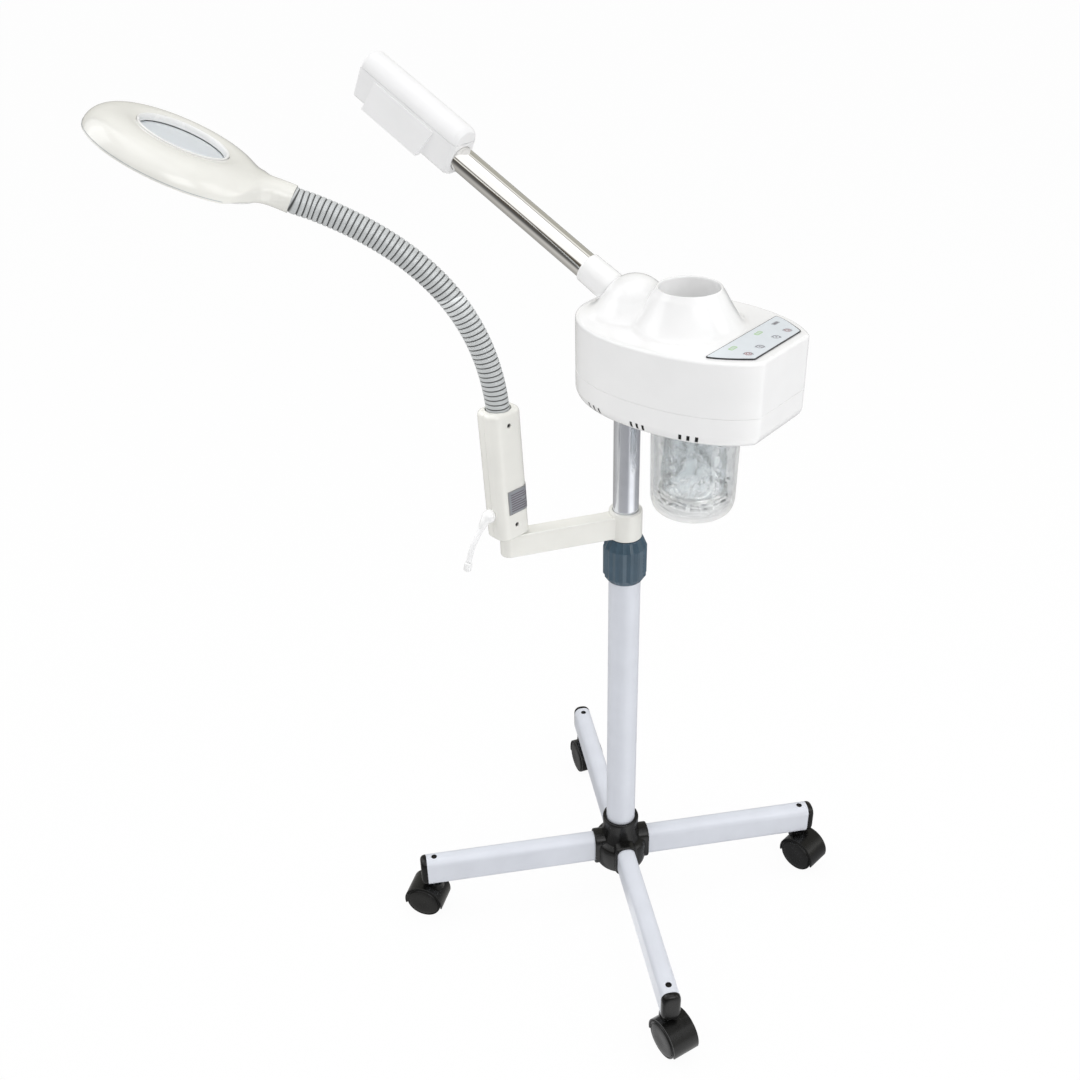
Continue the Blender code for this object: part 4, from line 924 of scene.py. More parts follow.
def hood_shape():
    """The caster's hood over both wheels, its middle web, its neck and its stem."""
    centre = (TRAIL, 0, WHEEL)
    turns = [math.radians(-14 + 4.8 * i) for i in range(44)]

    def band(outer, inner, half):
        outline = [polar(outer, a) for a in turns]
        outline += [polar(inner, a) for a in reversed(turns)]
        return prism(outline, -half, half)

    hood = band(22.3, HOOD_BORE, 15.0)
    below = [math.radians(a) for a in range(204, 341, 8)]
    outline = [polar(21.8, a) for a in turns]
    outline += [polar(13.0, a) for a in below]
    web = prism(outline, -WEB_HALF, WEB_HALF)
    hood = moved(cut(welded(hood, web), cylinder(3.3, -20, 20, 32)), centre, (90, 0, 0))
    neck = [(AXIS_GAP, 36.5), (8.6, 36.5), (8.3, 39.5), (7.9, 41.5), (8.3, 43.4), (8.1, 44.3)]
    post = turned_solid([*neck, (4.2, 44.4), (4.0, 45), (4.0, 74)], 48)
    rooms = [cylinder(HOOD_BORE, -17, -WEB_HALF, 64), cylinder(HOOD_BORE, WEB_HALF, 17, 64)]
    return cut(welded(hood, post), *[moved(room, centre, (90, 0, 0)) for room in rooms])


def wheels_shape():
    """Two twin wheels with rubber treads, ribbed hubs and a dished outer face."""
    half = [(2.9, 0.4), (2.9, 4.4), (19.0, 4.4), (19.8, 4.8), (WHEEL, 5.6), (WHEEL, 13.9)]
    half += [(19.7, 14.8), (18.9, 15.1), (18.3, 14.5), (17.6, 14.4), (17.2, 15.2), (16.4, 15.8)]
    half += [(12.0, 16.0), (6.0, 15.7), (AXIS_GAP, 15.6)]
    profile = [(r, -z) for r, z in reversed(half)] + half
    return moved(turned_solid(profile, 72), turn=(90, 0, 0))


def build_base():
    place = placed(turn=(0, 0, LEG_ANGLES["front_right"]))
    piece("hub", hub_shape(), "black_plastic", "stand", place, ("base_hub",), 0.5)
    for name, angle in LEG_ANGLES.items():
        leg = placed(turn=(0, 0, angle))
        piece(name + "_tube_leg", leg_shape(), "white_paint", "stand", leg, (name + "_leg",), 0.25)
        node = name + "_leg_cap"
        piece(name + "_end_cap", leg_cap_shape(), "black_plastic", "stand", leg, (node,))
        plug = placed((STEM_REACH, 0, 0), parent=leg)
        piece(name + "_leg_plug", leg_plug_shape(), "black_plastic", "stand", plug)
        swivel = placed(heading(angle) * STEM_REACH, (0, 0, HOOD_TURNS[name]))
        hood, wheels = name + "_caster", name + "_wheels"
        piece(hood + "_fork", hood_shape(), "black_plastic", hood, swivel, (hood + "_hood",), 0.35)
        axle = placed((TRAIL, 0, WHEEL), parent=swivel)
        node = hood + "_wheels"
        piece(name + "_twin_wheels", wheels_shape(), "black_plastic", wheels, axle, (node,))


# ---------------------------------------------------------------- column

FLUTES = 18
FLUTE_POINTS = 10
# outer and inner radius, bottom and top
LOWER_TUBE = (16.0, 14.3, 52.3, 440.0)
UPPER_TUBE = (12.5, 11.3, 120.0, 684.0)
CHROME_TUBE = (12.0, 11.0, 30.4, 236.0)


def collar_shape():
    """The screw collar, with scalloped flutes that run out on its two coned ends."""
    count = FLUTES * FLUTE_POINTS

    def fluted(z, radius, depth):
        ring = []
        for i in range(count):
            a = 2 * math.pi * i / count
            share = 1 - abs(2 * (i % FLUTE_POINTS) / FLUTE_POINTS - 1)
            ring.append((*polar(radius - depth * share**0.8, a), z))
        return ring

    levels = ((430.0, 17.8, 0.0), (430.4, 18.3, 0.2), (435.0, 21.3, 1.3), (435.8, 21.7, 1.4))
    levels += ((467.6, 21.7, 1.4), (468.3, 21.3, 1.3), (477.4, 17.5, 0.8), (478.1, 17.0, 0.5))
    levels += ((478.2, 16.5, 0.0),)
    bore = ((13.0, 478.2), (13.0, 470.5), (16.4, 468.5), (16.4, 430.0))
    rings = [fluted(*level) for level in levels] + [circle(r, z, count) for r, z in bore]
    return loft(rings, closed=True)


def tube(outer, inner, low, high):
    return turned_ring([(outer, low), (outer, high), (inner, high), (inner, low)], 96, 0.4)


def build_column():
    lower, upper, collar = tube(*LOWER_TUBE), tube(*UPPER_TUBE), collar_shape()
    piece("lower_column", lower, "white_paint", "stand", replaces=("lower_tube",))
    piece("upper_column", upper, "silver_paint", "mast", replaces=("upper_tube",))
    node = "clamp_collar"
    piece("height_collar", collar, "slate_plastic", "clamp_collar", replaces=(node,), angle=28)
    dress("collet_bush", "black_plastic")


# ---------------------------------------------------------------- lamp arm and handle


def arm_shape():
    """A ring about the column and a beam with a round end and soft edges."""
    ring = turned_solid([(16.3, 478.6), (16.3, 508.0)], 96, 1.2)
    end = [polar(ARM_HALF, math.radians(a)) for a in range(-90, 91, 9)]
    outline = [(ARM_LENGTH + x, y) for x, y in end]
    outline += [(20.0, 8.1), (12.0, 9.2), (5.0, 9.4), (5.0, -9.4), (12.0, -9.2), (20.0, -8.1)]
    levels = ((480.0, 0.80), (480.3, 0.90), (481.2, 0.97), (482.5, 1.0))
    levels += ((501.5, 1.0), (502.8, 0.97), (503.7, 0.90), (ARM_TOP, 0.80))
    rings = []
    for z, s in levels:
        inset = (1 - s) * ARM_HALF
        rings.append([(x - (inset if x > ARM_LENGTH else 0), y * s, z) for x, y in outline])
    bore = cylinder(12.9, 470, 520, 96)
    pin = moved(cylinder(5.2, 470, 520, 48), (ARM_LENGTH, 0, 0))
    return cut(welded(ring, loft(rings)), bore, pin)


PLATE_LOW = 27.0
PLATE_HIGH = 51.0
# where each plain bar on the plate ends, counted in points along its path
PLATE_BARS = (21, 24, 19, 23, 16, 24, 22, 18)
BAR_PITCH = 2.4
BAR_HEIGHT = 1.1


def handle_outline(inset=0.0):
    half_x, half_y = (half - inset for half in HANDLE_HALF)
    return rounded_rectangle(half_x, half_y, HANDLE_CORNER - inset, 12)


def handle_block():
    """The whole hollow handle, with the ways of its pin and of the gooseneck."""
    levels = [(1.0, 1.4), (1.2, 0.7), (1.8, 0.15), (2.6, 0.0), (124.0, 0.0)]
    levels += [(124.0 + 5.0 * math.sin(a), 4.4 * (1 - math.cos(a))) for a in quarter_turn(6)]
    outside = loft([[(x, y, z) for x, y in handle_outline(inset)] for z, inset in levels])
    inside = prism(handle_outline(2.4), 4.0, 122.0)
    pin_way = cylinder(4.3, -5, 10, 48)
    neck_way = turned_solid([(11.3, 118), (11.3, 127.8), (12.0, 129.2), (12.0, 140)], 64)
    return cut(outside, inside, pin_way, neck_way)


def handle_half(front):
    """One of the handle's two shells; the seam between them has a fine groove."""
    far = 40.0
    start, end = (0.12, far) if front else (-far, -0.12)
    half = combined(handle_block(), box((start, -far, -far), (end, far, 200)), "INTERSECT")
    if not front:
        return half
    hole = [(2.1, 11.0), (2.1, 14.0), (2.5, 14.6)]
    holes = [moved(turned_solid(hole, 32), (0, 0, z), (0, 90, 0)) for z in HANDLE_SCREWS]
    return cut(half, joined(*holes))


def screw_shape(radius, low, high):
    """A small pan-head screw with a cross recess."""
    head = turned_solid([(radius, low), (radius, high - 0.5), (radius * 0.8, high)], 40, 0.2)
    slots = []
    for x, y in ((radius * 0.6, 0.28), (0.28, radius * 0.6)):
        slots.append(box((-x, -y, high - 0.7), (x, y, high + 1)))
    return cut(head, *slots)


def plate_shape():
    """A thin plate that wraps round the edge: rim, face, and plain bars in place of print."""
    path = [(HANDLE_HALF[0], -8.0 + i) for i in range(16)]
    cx, cy = (half - HANDLE_CORNER for half in HANDLE_HALF)
    for a in quarter_turn(14)[:12]:
        x, y = polar(HANDLE_CORNER, a)
        path.append((cx + x, cy + y))

    def strip(first, last, low, high, proud):
        used = path[first:last]
        inner = [offset_point(p, 0.05) for p in used]
        outer = [offset_point(p, proud) for p in used]
        return prism(outer + inner[::-1], low, high)

    base = strip(0, len(path), PLATE_LOW, PLATE_HIGH, 0.55)
    face = strip(1, len(path) - 1, PLATE_LOW + 0.8, PLATE_HIGH - 0.8, 0.62)
    bars = []
    for k, last in enumerate(PLATE_BARS):
        low = PLATE_LOW + 2.6 + BAR_PITCH * k
        bars.append(strip(3, last, low, low + BAR_HEIGHT, 0.66))
    return base, face, joined(*bars)


def offset_point(point, distance):
    """A point on the handle's outline, moved straight out of it."""
    cx, side = (half - HANDLE_CORNER for half in HANDLE_HALF)
    cy = max(min(point[1], side), -side)
    out = Vector((point[0] - cx, point[1] - cy)).normalized()
    return (point[0] + out.x * distance, point[1] + out.y * distance)


def boot_shape():
    """The soft boot where the lead leaves the narrow face, thick at its root and tapering."""
    face = -HANDLE_HALF[1] - 0.05
    start, middle, end = Vector((0, face, 27)), Vector((0, face - 8, 27)), Vector((0, -31, 18))
    steps = [i / 18 for i in range(19)]
    centres = [start * (1 - t) ** 2 + middle * (2 * t * (1 - t)) + end * t * t for t in steps]
    bulge = [1.1 * math.sin(math.pi * min(t / 0.55, 1.0)) for t in steps]
    taper = [2.5 * max(t - 0.28, 0) ** 1.15 / 0.72**1.15 for t in steps]
    radii = [5.5 + more - less for more, less in zip(bulge, taper)]
    tip = (end - middle).normalized()
    centres.append(end + tip * 0.4)
    radii[-1] = 3.3
    radii.append(2.75)
    return swept(centres, radii, 40)


def build_lamp_stand():
    piece("swing_arm", arm_shape(), "ivory_plastic", "lamp_arm", ARM, ("lamp_arm",), 0.5, angle=30)
    shells = (("front", True, "handle_front_shell"), ("back", False, "handle_back_shell"))
    for name, front, node in shells:
        shell = handle_half(front)
        name = "handle_" + name + "_half"
        piece(name, shell, "ivory_plastic", "lamp_handle", HANDLE, (node,), 0.2, 2)
    dress("handle_pivot_pin", "steel")
    for node, height in zip(("lower_handle_screw", "upper_handle_screw"), HANDLE_SCREWS):
        screw = moved(screw_shape(1.8, 11.8, 13.3), (0, 0, height), (0, 90, 0))
        piece(node + "_head", screw, "dark_steel", "lamp_handle", HANDLE, (node,))
    base, face, bars = plate_shape()
    piece("blank_plate", base, "steel", "lamp_handle", HANDLE, ("rating_plate",))
    piece("blank_plate_face", face, "brushed_plate", "lamp_handle", HANDLE)
    piece("plate_bars", bars, "grey_print", "lamp_handle", HANDLE)
    boot = boot_shape()
    piece("lead_strain_relief", boot, "white_plastic", "lamp_handle", HANDLE, ("lead_boot",))


# ---------------------------------------------------------------- gooseneck

# The gooseneck's curve in its upright plane: its ends, its slopes there, and how far each holds
NECK_START = (5.2, 634.0)
NECK_END = (162.5, 819.6)
NECK_LEAN = 4.9
NECK_RISE = 20.6
NECK_HOLDS = (90.3, 104.4)
NECK_RADIUS = 10.7
COIL_PITCH = 4.5
COIL_GROOVE = 0.95
COIL_STEP = 0.3
COIL_POINTS = 40


def neck_point(t):
    """A point on the gooseneck's centreline, t from 0 at the handle to 1 at the lamp head."""
    lean, rise = math.radians(NECK_LEAN), math.radians(NECK_RISE)
    start, end = Vector(NECK_START), Vector(NECK_END)
    first = start + Vector((math.sin(lean), math.cos(lean))) * NECK_HOLDS[0]
    second = end - Vector(polar(1.0, rise)) * NECK_HOLDS[1]
    flat = bezier([(*p, 0) for p in (start, first, second, end)], t)
    return _foot + heading(NECK_TURN) * flat.x + Vector((0, 0, flat.y))


def neck_line():
    """The whole centreline: the plug in the handle, the curve, and the run into the lamp head."""
    first = neck_point(0.0)
    along = (first - neck_point(0.02)).normalized()
    points = [first + along * 14.0, first + along * 7.0]
    points += [neck_point(i / 40) for i in range(39)]
    turn = HEAD_TURN.to_3x3()
    for x in (HEAD_NECK_X - 4.0, HEAD_NECK_X - 0.1):
        points.append(Vector(HEAD_PLACE) + turn @ Vector((x, 0, HEAD_NECK_Z)))
    return curve_through(points, 14)


def ridge_height(phase):
    """The coil's height at a phase from 0 to 1: a wide round back and a narrow groove."""
    from_groove = 1 - abs(phase % 1.0 - 0.5) * 2
    return 1 - math.exp(-((from_groove / 0.25) ** 2))


def neck_lengths():
    """Points every fraction of a millimetre along the centreline, as (place, distance)."""
    line = neck_line()
    spaced = [(line[0], 0.0)]
    total = 0.0
    for a, b in zip(line, line[1:]):
        length = (b - a).length
        while spaced[-1][1] + COIL_STEP <= total + length:
            distance = spaced[-1][1] + COIL_STEP
            spaced.append((a.lerp(b, (distance - total) / length), distance))
        total += length
    return spaced


def build_gooseneck():
    """The coiled tube, in two lengths that meet half way up."""
    spaced = neck_lengths()
    centres = [p for p, _ in spaced]

    def height(i, a):
        return ridge_height(spaced[i][1] / COIL_PITCH + a / (2 * math.pi))

    def reach(i, a):
        return NECK_RADIUS - COIL_GROOVE * (1 - height(i, a))

    rings = sections(centres, reach, COIL_POINTS)
    middle = min(range(len(centres)), key=lambda i: (centres[i] - neck_point(0.5)).length)
    lower, upper = (0, middle + 1), (middle, len(rings))
    parts = (
        ("lower", lower, ("lamp_handle", "gooseneck"), ("gooseneck_lower", "gooseneck_middle")),
        ("upper", upper, ("gooseneck", "lamp_head"), ("gooseneck_upper",)),
    )
    for joint, (name, (first, last), (below, above), nodes) in zip(NECK_JOINTS, parts):
        name = "gooseneck_" + name + "_coil"
        shape = loft(rings[first:last])
        shape.transform(Matrix.Scale(MM, 4) @ COLUMN)
        mesh = bpy.data.meshes.new(name)
        shape.verts.ensure_lookup_table()
        shape.to_mesh(mesh)
        shape.free()
        mesh.shade_smooth()
        ridge = mesh.attributes.new("ridge", "FLOAT", "POINT")
        turns = [2 * math.pi * k / COIL_POINTS for k in range(COIL_POINTS)]
        ridge.data.foreach_set("value", [height(i, a) for i in range(first, last) for a in turns])
        coil = shown(name, mesh)
        mesh.materials.append(material("gooseneck_metal"))
        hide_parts(*nodes)
        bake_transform(coil)


# ---------------------------------------------------------------- lamp head

# x along the neck, half width, half height and middle height
NECK_STATIONS = (
    (-93.0, 11.8, 11.8, 12.3),
    (-89.0, 12.0, 11.7, 12.1),
    (-84.0, 12.9, 11.5, 11.8),
    (-78.0, 15.3, 11.1, 11.4),
    (-72.0, 19.6, 10.5, 10.8),
    (-66.0, 26.2, 9.9, 10.2),
    (-60.0, 34.0, 9.3, 9.7),
    (-54.0, 42.0, 8.8, 9.2),
    (-46.0, 50.0, 8.0, 8.6),
)
# past this the head is the plain disc
NECK_RUNS_OUT = -40.0
HEAD_WALL = 2.4
LED_REACH = 52.5
LEDS = 36
LENS_RADIUS = 35.4
LENS_EDGE = (11.3, 14.3)
LENS_CROWN = 3.6


def dome_height(r):
    """Height of the head's top at a distance from its middle."""
    flat = LENS_HOLE + 8.0
    if r >= HEAD_RADIUS:
        return 0.0
    if r < flat:
        return HEAD_DOME - 1.2 * max(flat - r, 0) / 8.0
    cosine = ((r - flat) / (HEAD_RADIUS - flat)) ** (1 / 0.9)
    return HEAD_DOME * math.sqrt(max(1 - cosine * cosine, 0.0))


def neck_station(x):
    """Half width, half height and middle height of the lamp head's neck."""
    if x >= NECK_STATIONS[-1][0]:
        return NECK_STATIONS[-1][1:]
    for a, b in zip(NECK_STATIONS, NECK_STATIONS[1:]):
        if x <= b[0]:
            t = (x - a[0]) / (b[0] - a[0])
            return tuple(p + (q - p) * t for p, q in zip(a[1:], b[1:]))


def head_section(x, count):
    """The lamp head's closed section square to its length at x."""
    half_y, half_z, middle = neck_station(x)
    disc = math.sqrt(max(HEAD_RADIUS**2 - x * x, 0.0)) if abs(x) < HEAD_RADIUS else 0.0
    fade = min(max((x + 64.0) / 16.0, 0.0), 1.0)
    fade = fade * fade * (3 - 2 * fade)
    in_neck = x < NECK_RUNS_OUT
    width = blend_max(disc, half_y, 5.0 * (1 - fade) + 0.01) if in_neck else disc
    ring = []
    for k in range(count):
        a = 2 * math.pi * k / count
        y = width * math.cos(a)
        rise = abs(math.sin(a))
        dome = dome_height(math.hypot(x, y))
        if a < math.pi:
            neck = (middle + half_z * rise) * (1 - fade) + dome * fade
            z = blend_max(dome, neck, 4.0 * (1 - fade) + 0.01) if in_neck else dome
        else:
            flat = min(max((x + 86.0) / 20.0, 0.0), 1.0)
            z = (middle - half_z * rise ** (1 - 0.75 * flat)) * (1 - fade)
        if a < 1e-9 or abs(a - math.pi) < 1e-9:
            z = middle * (1 - fade)
        ring.append((x, y, z))
    return ring


def head_shape():
    """The lamp's hollow top shell, from the neck's end round the disc, with the lens's opening."""
    count = 128
    stations = [HEAD_NECK_X + 0.25 * i for i in range(3)]
    stations += [HEAD_NECK_X + 1.0 + i for i in range(60)]
    start = math.asin(stations[-1] / HEAD_RADIUS)
    turns = [start + (math.pi / 2 - start) * i / 80 for i in range(1, 80)]
    stations += [HEAD_RADIUS * math.sin(a) for a in turns]
    shell = loft([head_section(x, count) for x in stations])
    reach = HEAD_RADIUS - HEAD_WALL
    inside = [(reach, -5.0)]
    for i in range(1, 15):
        r = reach - (reach - LENS_HOLE + 3) * i / 14
        inside.append((r, max(dome_height(r + 2.2) - HEAD_WALL, 0.3)))
    hole = [(0, 3.0), (0, 19.2), (0.9, 20.4), (1.6, 24.0)]
    hole = [(LENS_HOLE + r, z) for r, z in hole]
    return cut(shell, turned_solid(inside, count), turned_solid(hole, count))


def lens_shape():
    """The magnifier, crowned above and nearly flat below."""
    shares = [i / 16 for i in range(16, 0, -1)]
    rise = [(LENS_RADIUS * share, LENS_CROWN * (1 - share**2)) for share in shares]
    lower = [(r, LENS_EDGE[0] - z * 0.25) for r, z in reversed(rise)]
    upper = [(r, LENS_EDGE[1] + z) for r, z in rise]
    middle = (LENS_EDGE[0] + LENS_EDGE[1]) / 2
    return turned_solid([*lower, (LENS_RADIUS + 0.2, middle), *upper], 128)


def led_ring_shape():
    """The ring of small square lamps on the board, under the diffuser."""
    chips = []
    for k in range(LEDS):
        a = 2 * math.pi * k / LEDS
        chip = prism(rounded_rectangle(1.7, 1.3, 0.4, 3), 2.2, 3.25)
        chips.append(moved(chip, (*polar(LED_REACH, a), 0), (0, 0, math.degrees(a))))
    return joined(*chips)


def build_lamp_head():
    dome, node = head_shape(), "lamp_head_top"
    piece("lamp_dome", dome, "ivory_plastic", "lamp_head", HEAD, (node,), angle=40)
    edge = HEAD_RADIUS - 3.3
    rim = [(33.0, 0.5), (34.0, 0.1), (edge, 0.1), (edge, 3.0), (66.5, 3.0), (66.5, 1.4)]
    rim += [(39.5, 1.4), (39.5, 10.9), (33.0, 10.9)]
    cover = turned_ring(rim, 128, 0.4)
    piece("lamp_under_cover", cover, "lens_trim", "lamp_head", HEAD, ("lamp_head_bottom",))
    seam = turned_ring([(71.9, 1.3), (72.42, 1.3), (72.42, 1.75), (71.9, 1.75)], 128)
    seam = cut(seam, box((-80, -60, 0), (-50, 60, 3)))
    piece("lamp_seam", seam, "pale_print", "lamp_head", HEAD)
    piece("led_chips", led_ring_shape(), "led", "lamp_head", HEAD)
    dress("light_ring_board", "circuit_board")
    lens, node = lens_shape(), "magnifier_lens"
    piece("magnifying_lens", lens, "lens_glass", "lamp_head", HEAD, (node,), weighted=False)
    trim = [(34.2, 15.4), (36.5, 14.6), (36.6, 20.2), (36.2, 20.9), (35.4, 20.9), (34.6, 20.0)]
    trim = turned_ring([*trim, (34.2, 18.4)], 128, 0.3)
    piece("lens_bezel", trim, "lens_trim", "lamp_head", HEAD, ("lens_ring",))


# ---------------------------------------------------------------- steamer body

# The body's outline about the neck's axis: reach to the front and the back, half width, the
# superellipse's power, and where the front is cut flat
BODY_FRONT = 107.0
BODY_BACK = 104.0
BODY_HALF = 72.0
BODY_POWER = 2.2
BODY_FLAT = 95.0
BODY_TURNS = [2 * math.pi * (i + 0.5) / 300 for i in range(300)]
COVER_TOP = 709.5
COVER_EDGE = (2.9, 3.1)
COVER_WALL = 2.6
CONE_FOOT = 49.0
CONE_TOP = 28.3
NECK_TOP = 742.0
DOME_RADIUS = 30.0
DOME_SIDE = math.radians(62)
TRAY_EDGE = (6.5, 10.0)
TRAY_LOW = 645.0
SEAM = 661.0


def body_reach(a):
    """How far the body's outline is from the neck's axis in a direction."""
    length = BODY_FRONT if math.cos(a) > 0 else BODY_BACK
    c, s = abs(math.cos(a)) / length, abs(math.sin(a)) / BODY_HALF
    round_reach = (c**BODY_POWER + s**BODY_POWER) ** (-1 / BODY_POWER)
    if math.cos(a) < 0.2:
        return round_reach
    return -blend_max(-round_reach, -BODY_FLAT / math.cos(a), 0.9)


BODY_EDGE = [polar(body_reach(a), a) for a in BODY_TURNS]


def shrink(inset):
    """The two scales that bring the body's outline in by an inset."""
    return 1 - inset / BODY_FRONT * 1.1, 1 - inset / BODY_HALF


def body_ring(inset, z):
    kx, ky = shrink(inset)
    return [(NECK_X + x * kx, y * ky, z) for x, y in BODY_EDGE]


def neck_ring(radius, z, x=NECK_X):
    return circle_at(radius, z, BODY_TURNS, (x, 0))


def cover_height(x, y):
    """Height of the top cover's outside: a flat top, the neck's cone and the arm's dome."""
    share = (math.hypot(x - NECK_X, y) - CONE_TOP) / (CONE_FOOT - CONE_TOP)
    cone = COVER_TOP + (NECK_TOP - COVER_TOP) * (1 - share) * (1 - 0.28 * share)
    d = math.hypot(x - DOME[0], y)
    limit = DOME_RADIUS * math.sin(DOME_SIDE)
    if d < limit:
        dome = DOME[2] + math.sqrt(DOME_RADIUS**2 - d * d)
    else:
        dome = DOME[2] + DOME_RADIUS * math.cos(DOME_SIDE) - (d - limit) * 1.3
    return blend_max(blend_max(COVER_TOP, cone, 5.0), dome, 9.0)


def cover_ring(share, drop=0.0):
    """A ring on the cover's top, from its edge at 0 to the foot of the neck's rim at 1."""
    kx, ky = shrink(COVER_EDGE[0])
    ring = []
    for x, y in BODY_EDGE:
        px, py = x * kx, y * ky
        reach = math.hypot(px, py)
        r = reach + (CONE_TOP - reach) * share
        px, py = NECK_X + px / reach * r, py / reach * r
        ring.append((px, py, cover_height(px, py) - drop))
    return ring


def top_cover_shape():
    """The cover: its wall, edge, top and neck, then down the well and back under the top."""
    edge = COVER_TOP - COVER_EDGE[1]
    walls = ((0.25, SEAM + 0.08), (0.06, SEAM + 0.2), (0.0, SEAM + 0.5), (0.0, edge))
    rings = [body_ring(inset, z) for inset, z in walls]
    for a in quarter_turn(8)[:-1]:
        inset = COVER_EDGE[0] * (1 - math.cos(a))
        rings.append(body_ring(inset, edge + COVER_EDGE[1] * math.sin(a)))
    shares = [i / 40 for i in range(0, 39)]
    rings += [cover_ring(s) for s in shares]
    rim = ((CONE_TOP, 740.6), (28.1, 741.4), (27.6, 741.9), (27.0, NECK_TOP), (26.4, 741.7))
    rim += ((26.0, 741.0), (25.8, 739.5), (25.0, 700.0), (24.8, 690.0), (27.2, 690.0))
    rings += [neck_ring(r, z) for r, z in rim]
    rings += [cover_ring(s, 3.0) for s in shares[-4::-3]]
    rings += [body_ring(COVER_WALL, z) for z in (703.5, SEAM + 0.08)]
    arm_way = moved(cylinder(14.5, 20, 50, 72), DOME, (0, SPRAY_RISE - 90, 0))
    inlet_way = box((44.6, 60, 667.6), (77.4, 80, 690.4))
    return cut(loft(rings, closed=True), arm_way, joined(*button_ways(4.1)), inlet_way)


def tray_edge(count):
    """The first steps of the tray's rounded lower edge, as (inset, height)."""
    edge = []
    for a in quarter_turn(8)[:count]:
        drop = TRAY_EDGE[1] * math.sin(a) ** 1.15
        edge.append((TRAY_EDGE[0] * (1 - math.cos(a)), TRAY_LOW - drop))
    return edge


def bottom_cover_shape():
    """The tray: wall, rounded lower edge, floor with the jar's opening, and the vent slots."""
    walls = ((0.25, SEAM - 0.05), (0.06, SEAM - 0.2), (0.0, SEAM - 0.5), (0.0, TRAY_LOW))
    rings = [body_ring(inset, z) for inset, z in (*walls, *tray_edge(8))]
    rings += [neck_ring(r, z, JAR_X) for r, z in ((43.9, 635.0), (43.5, 635.4), (43.5, 637.6))]
    inside = ((8.0, 637.6), (4.0, 641.5), (COVER_WALL, 647.0), (COVER_WALL, SEAM - 0.05))
    rings += [body_ring(inset, z) for inset, z in inside]
    tray = loft(rings, closed=True)
    tube_way = cylinder(13.3, 620, 650, 64)
    return cut(tray, tube_way, vent_slots(1.3))


VENT_GROUPS = (-129.0, -91.0, -55.0, 55.0, 91.0, 129.0)
VENT_HEIGHTS = (637.6, 643.2)
VENTS = [centre + offset for centre in VENT_GROUPS for offset in (-4.8, 0.0, 4.8)]


def vent_slots(half):
    """Cutters for the slots, in groups of three round the tray's lower edge."""
    slots = []
    for direction in VENTS:
        reach = body_reach(math.radians(direction))
        slot = prism(rounded_rectangle(7.5, half, 0.7, 4), *VENT_HEIGHTS)
        moved(slot, (reach - 1.5, 0, 0))
        slots.append(moved(slot, (NECK_X, 0, 0), (0, 0, direction)))
    return joined(*slots)


def vent_shade_sheets_shape():
    """A dark sheet in each vent slot, just inside the tray's outside, as painted shade for the
    hollow behind the slot.
    """
    edge = tray_edge(7)
    outer = [body_ring(inset + 0.3, z) for inset, z in edge]
    inner = [body_ring(inset + 2.2, z + 1.0) for inset, z in edge]
    return combined(loft(outer + inner[::-1], closed=True), vent_slots(1.24), "INTERSECT")


PANEL_NEAR = 113.5
PANEL_FAR = 147.5
PANEL_HALF = 56.0
PANEL_NARROWS = 18.5
PANEL_FOOT = 709.62
PANEL_THICK = 1.12


def button_ways(radius):
    """Cutters for the four buttons' holes."""
    return [moved(cylinder(radius, 700, 720, 32), (BUTTON_X, y, 0)) for y in BUTTONS.values()]


def panel_outline(inset=0.0):
    """The panel's outline: a trapezium whose slanted sides bow outwards."""
    side = []
    for k in range(9):
        t = k / 8
        x = PANEL_NEAR + inset + (PANEL_FAR - PANEL_NEAR - 2 * inset) * t
        side.append((x, -(PANEL_HALF - PANEL_NARROWS * t**1.35) + inset * 1.2))
    return soften(side + [(x, -y) for x, y in reversed(side)], 1.6, True, 5)


def build_panel():
    z = PANEL_FOOT
    top = z + PANEL_THICK
    inside = prism(panel_outline(0.6), z + 0.7, z + 3)
    border = cut(prism(panel_outline(), z, z + 1.0), inside, *button_ways(4.0))
    piece("panel_border", border, "black_print", "steamer", replaces=("control_panel",))
    film = cut(prism(panel_outline(0.7), z + 0.6, top), *button_ways(4.0))
    piece("panel_face", film, "panel_film", "steamer")
    build_icons(top)


PRINT = 0.06
INDICATOR_X = 122.0
# across the panel, finish of the window and of the bars in it
INDICATORS = (
    (-28.5, "green_print", "panel_film"),
    (11.9, "green_print", "panel_film"),
    (40.0, "pale_print", "grey_print"),
)
SIGN_FINISHES = {
    "power_button": "red_print",
    "steam_button": "grey_print",
    "ozone_button": "grey_print",
    "timer_button": "red_print",
}


def printed(half_x, half_y, corner, z, steps=2, thick=PRINT):
    """A thin raised bar, as if printed."""
    return prism(rounded_rectangle(half_x, half_y, corner, steps), z, z + thick)


def flat_ring(radius, width, z, turn=(0, 360)):
    """A thin raised ring or arc, as if printed."""
    top, inside = z + PRINT, radius - width
    if turn == (0, 360):
        return turned_ring([(radius, z), (radius, top), (inside, top), (inside, z)], 40)
    steps = [math.radians(turn[0] + (turn[1] - turn[0]) * i / 20) for i in range(21)]
    outline = [polar(radius, a) for a in steps]
    outline += [polar(inside, a) for a in reversed(steps)]
    return prism(outline, z, top)


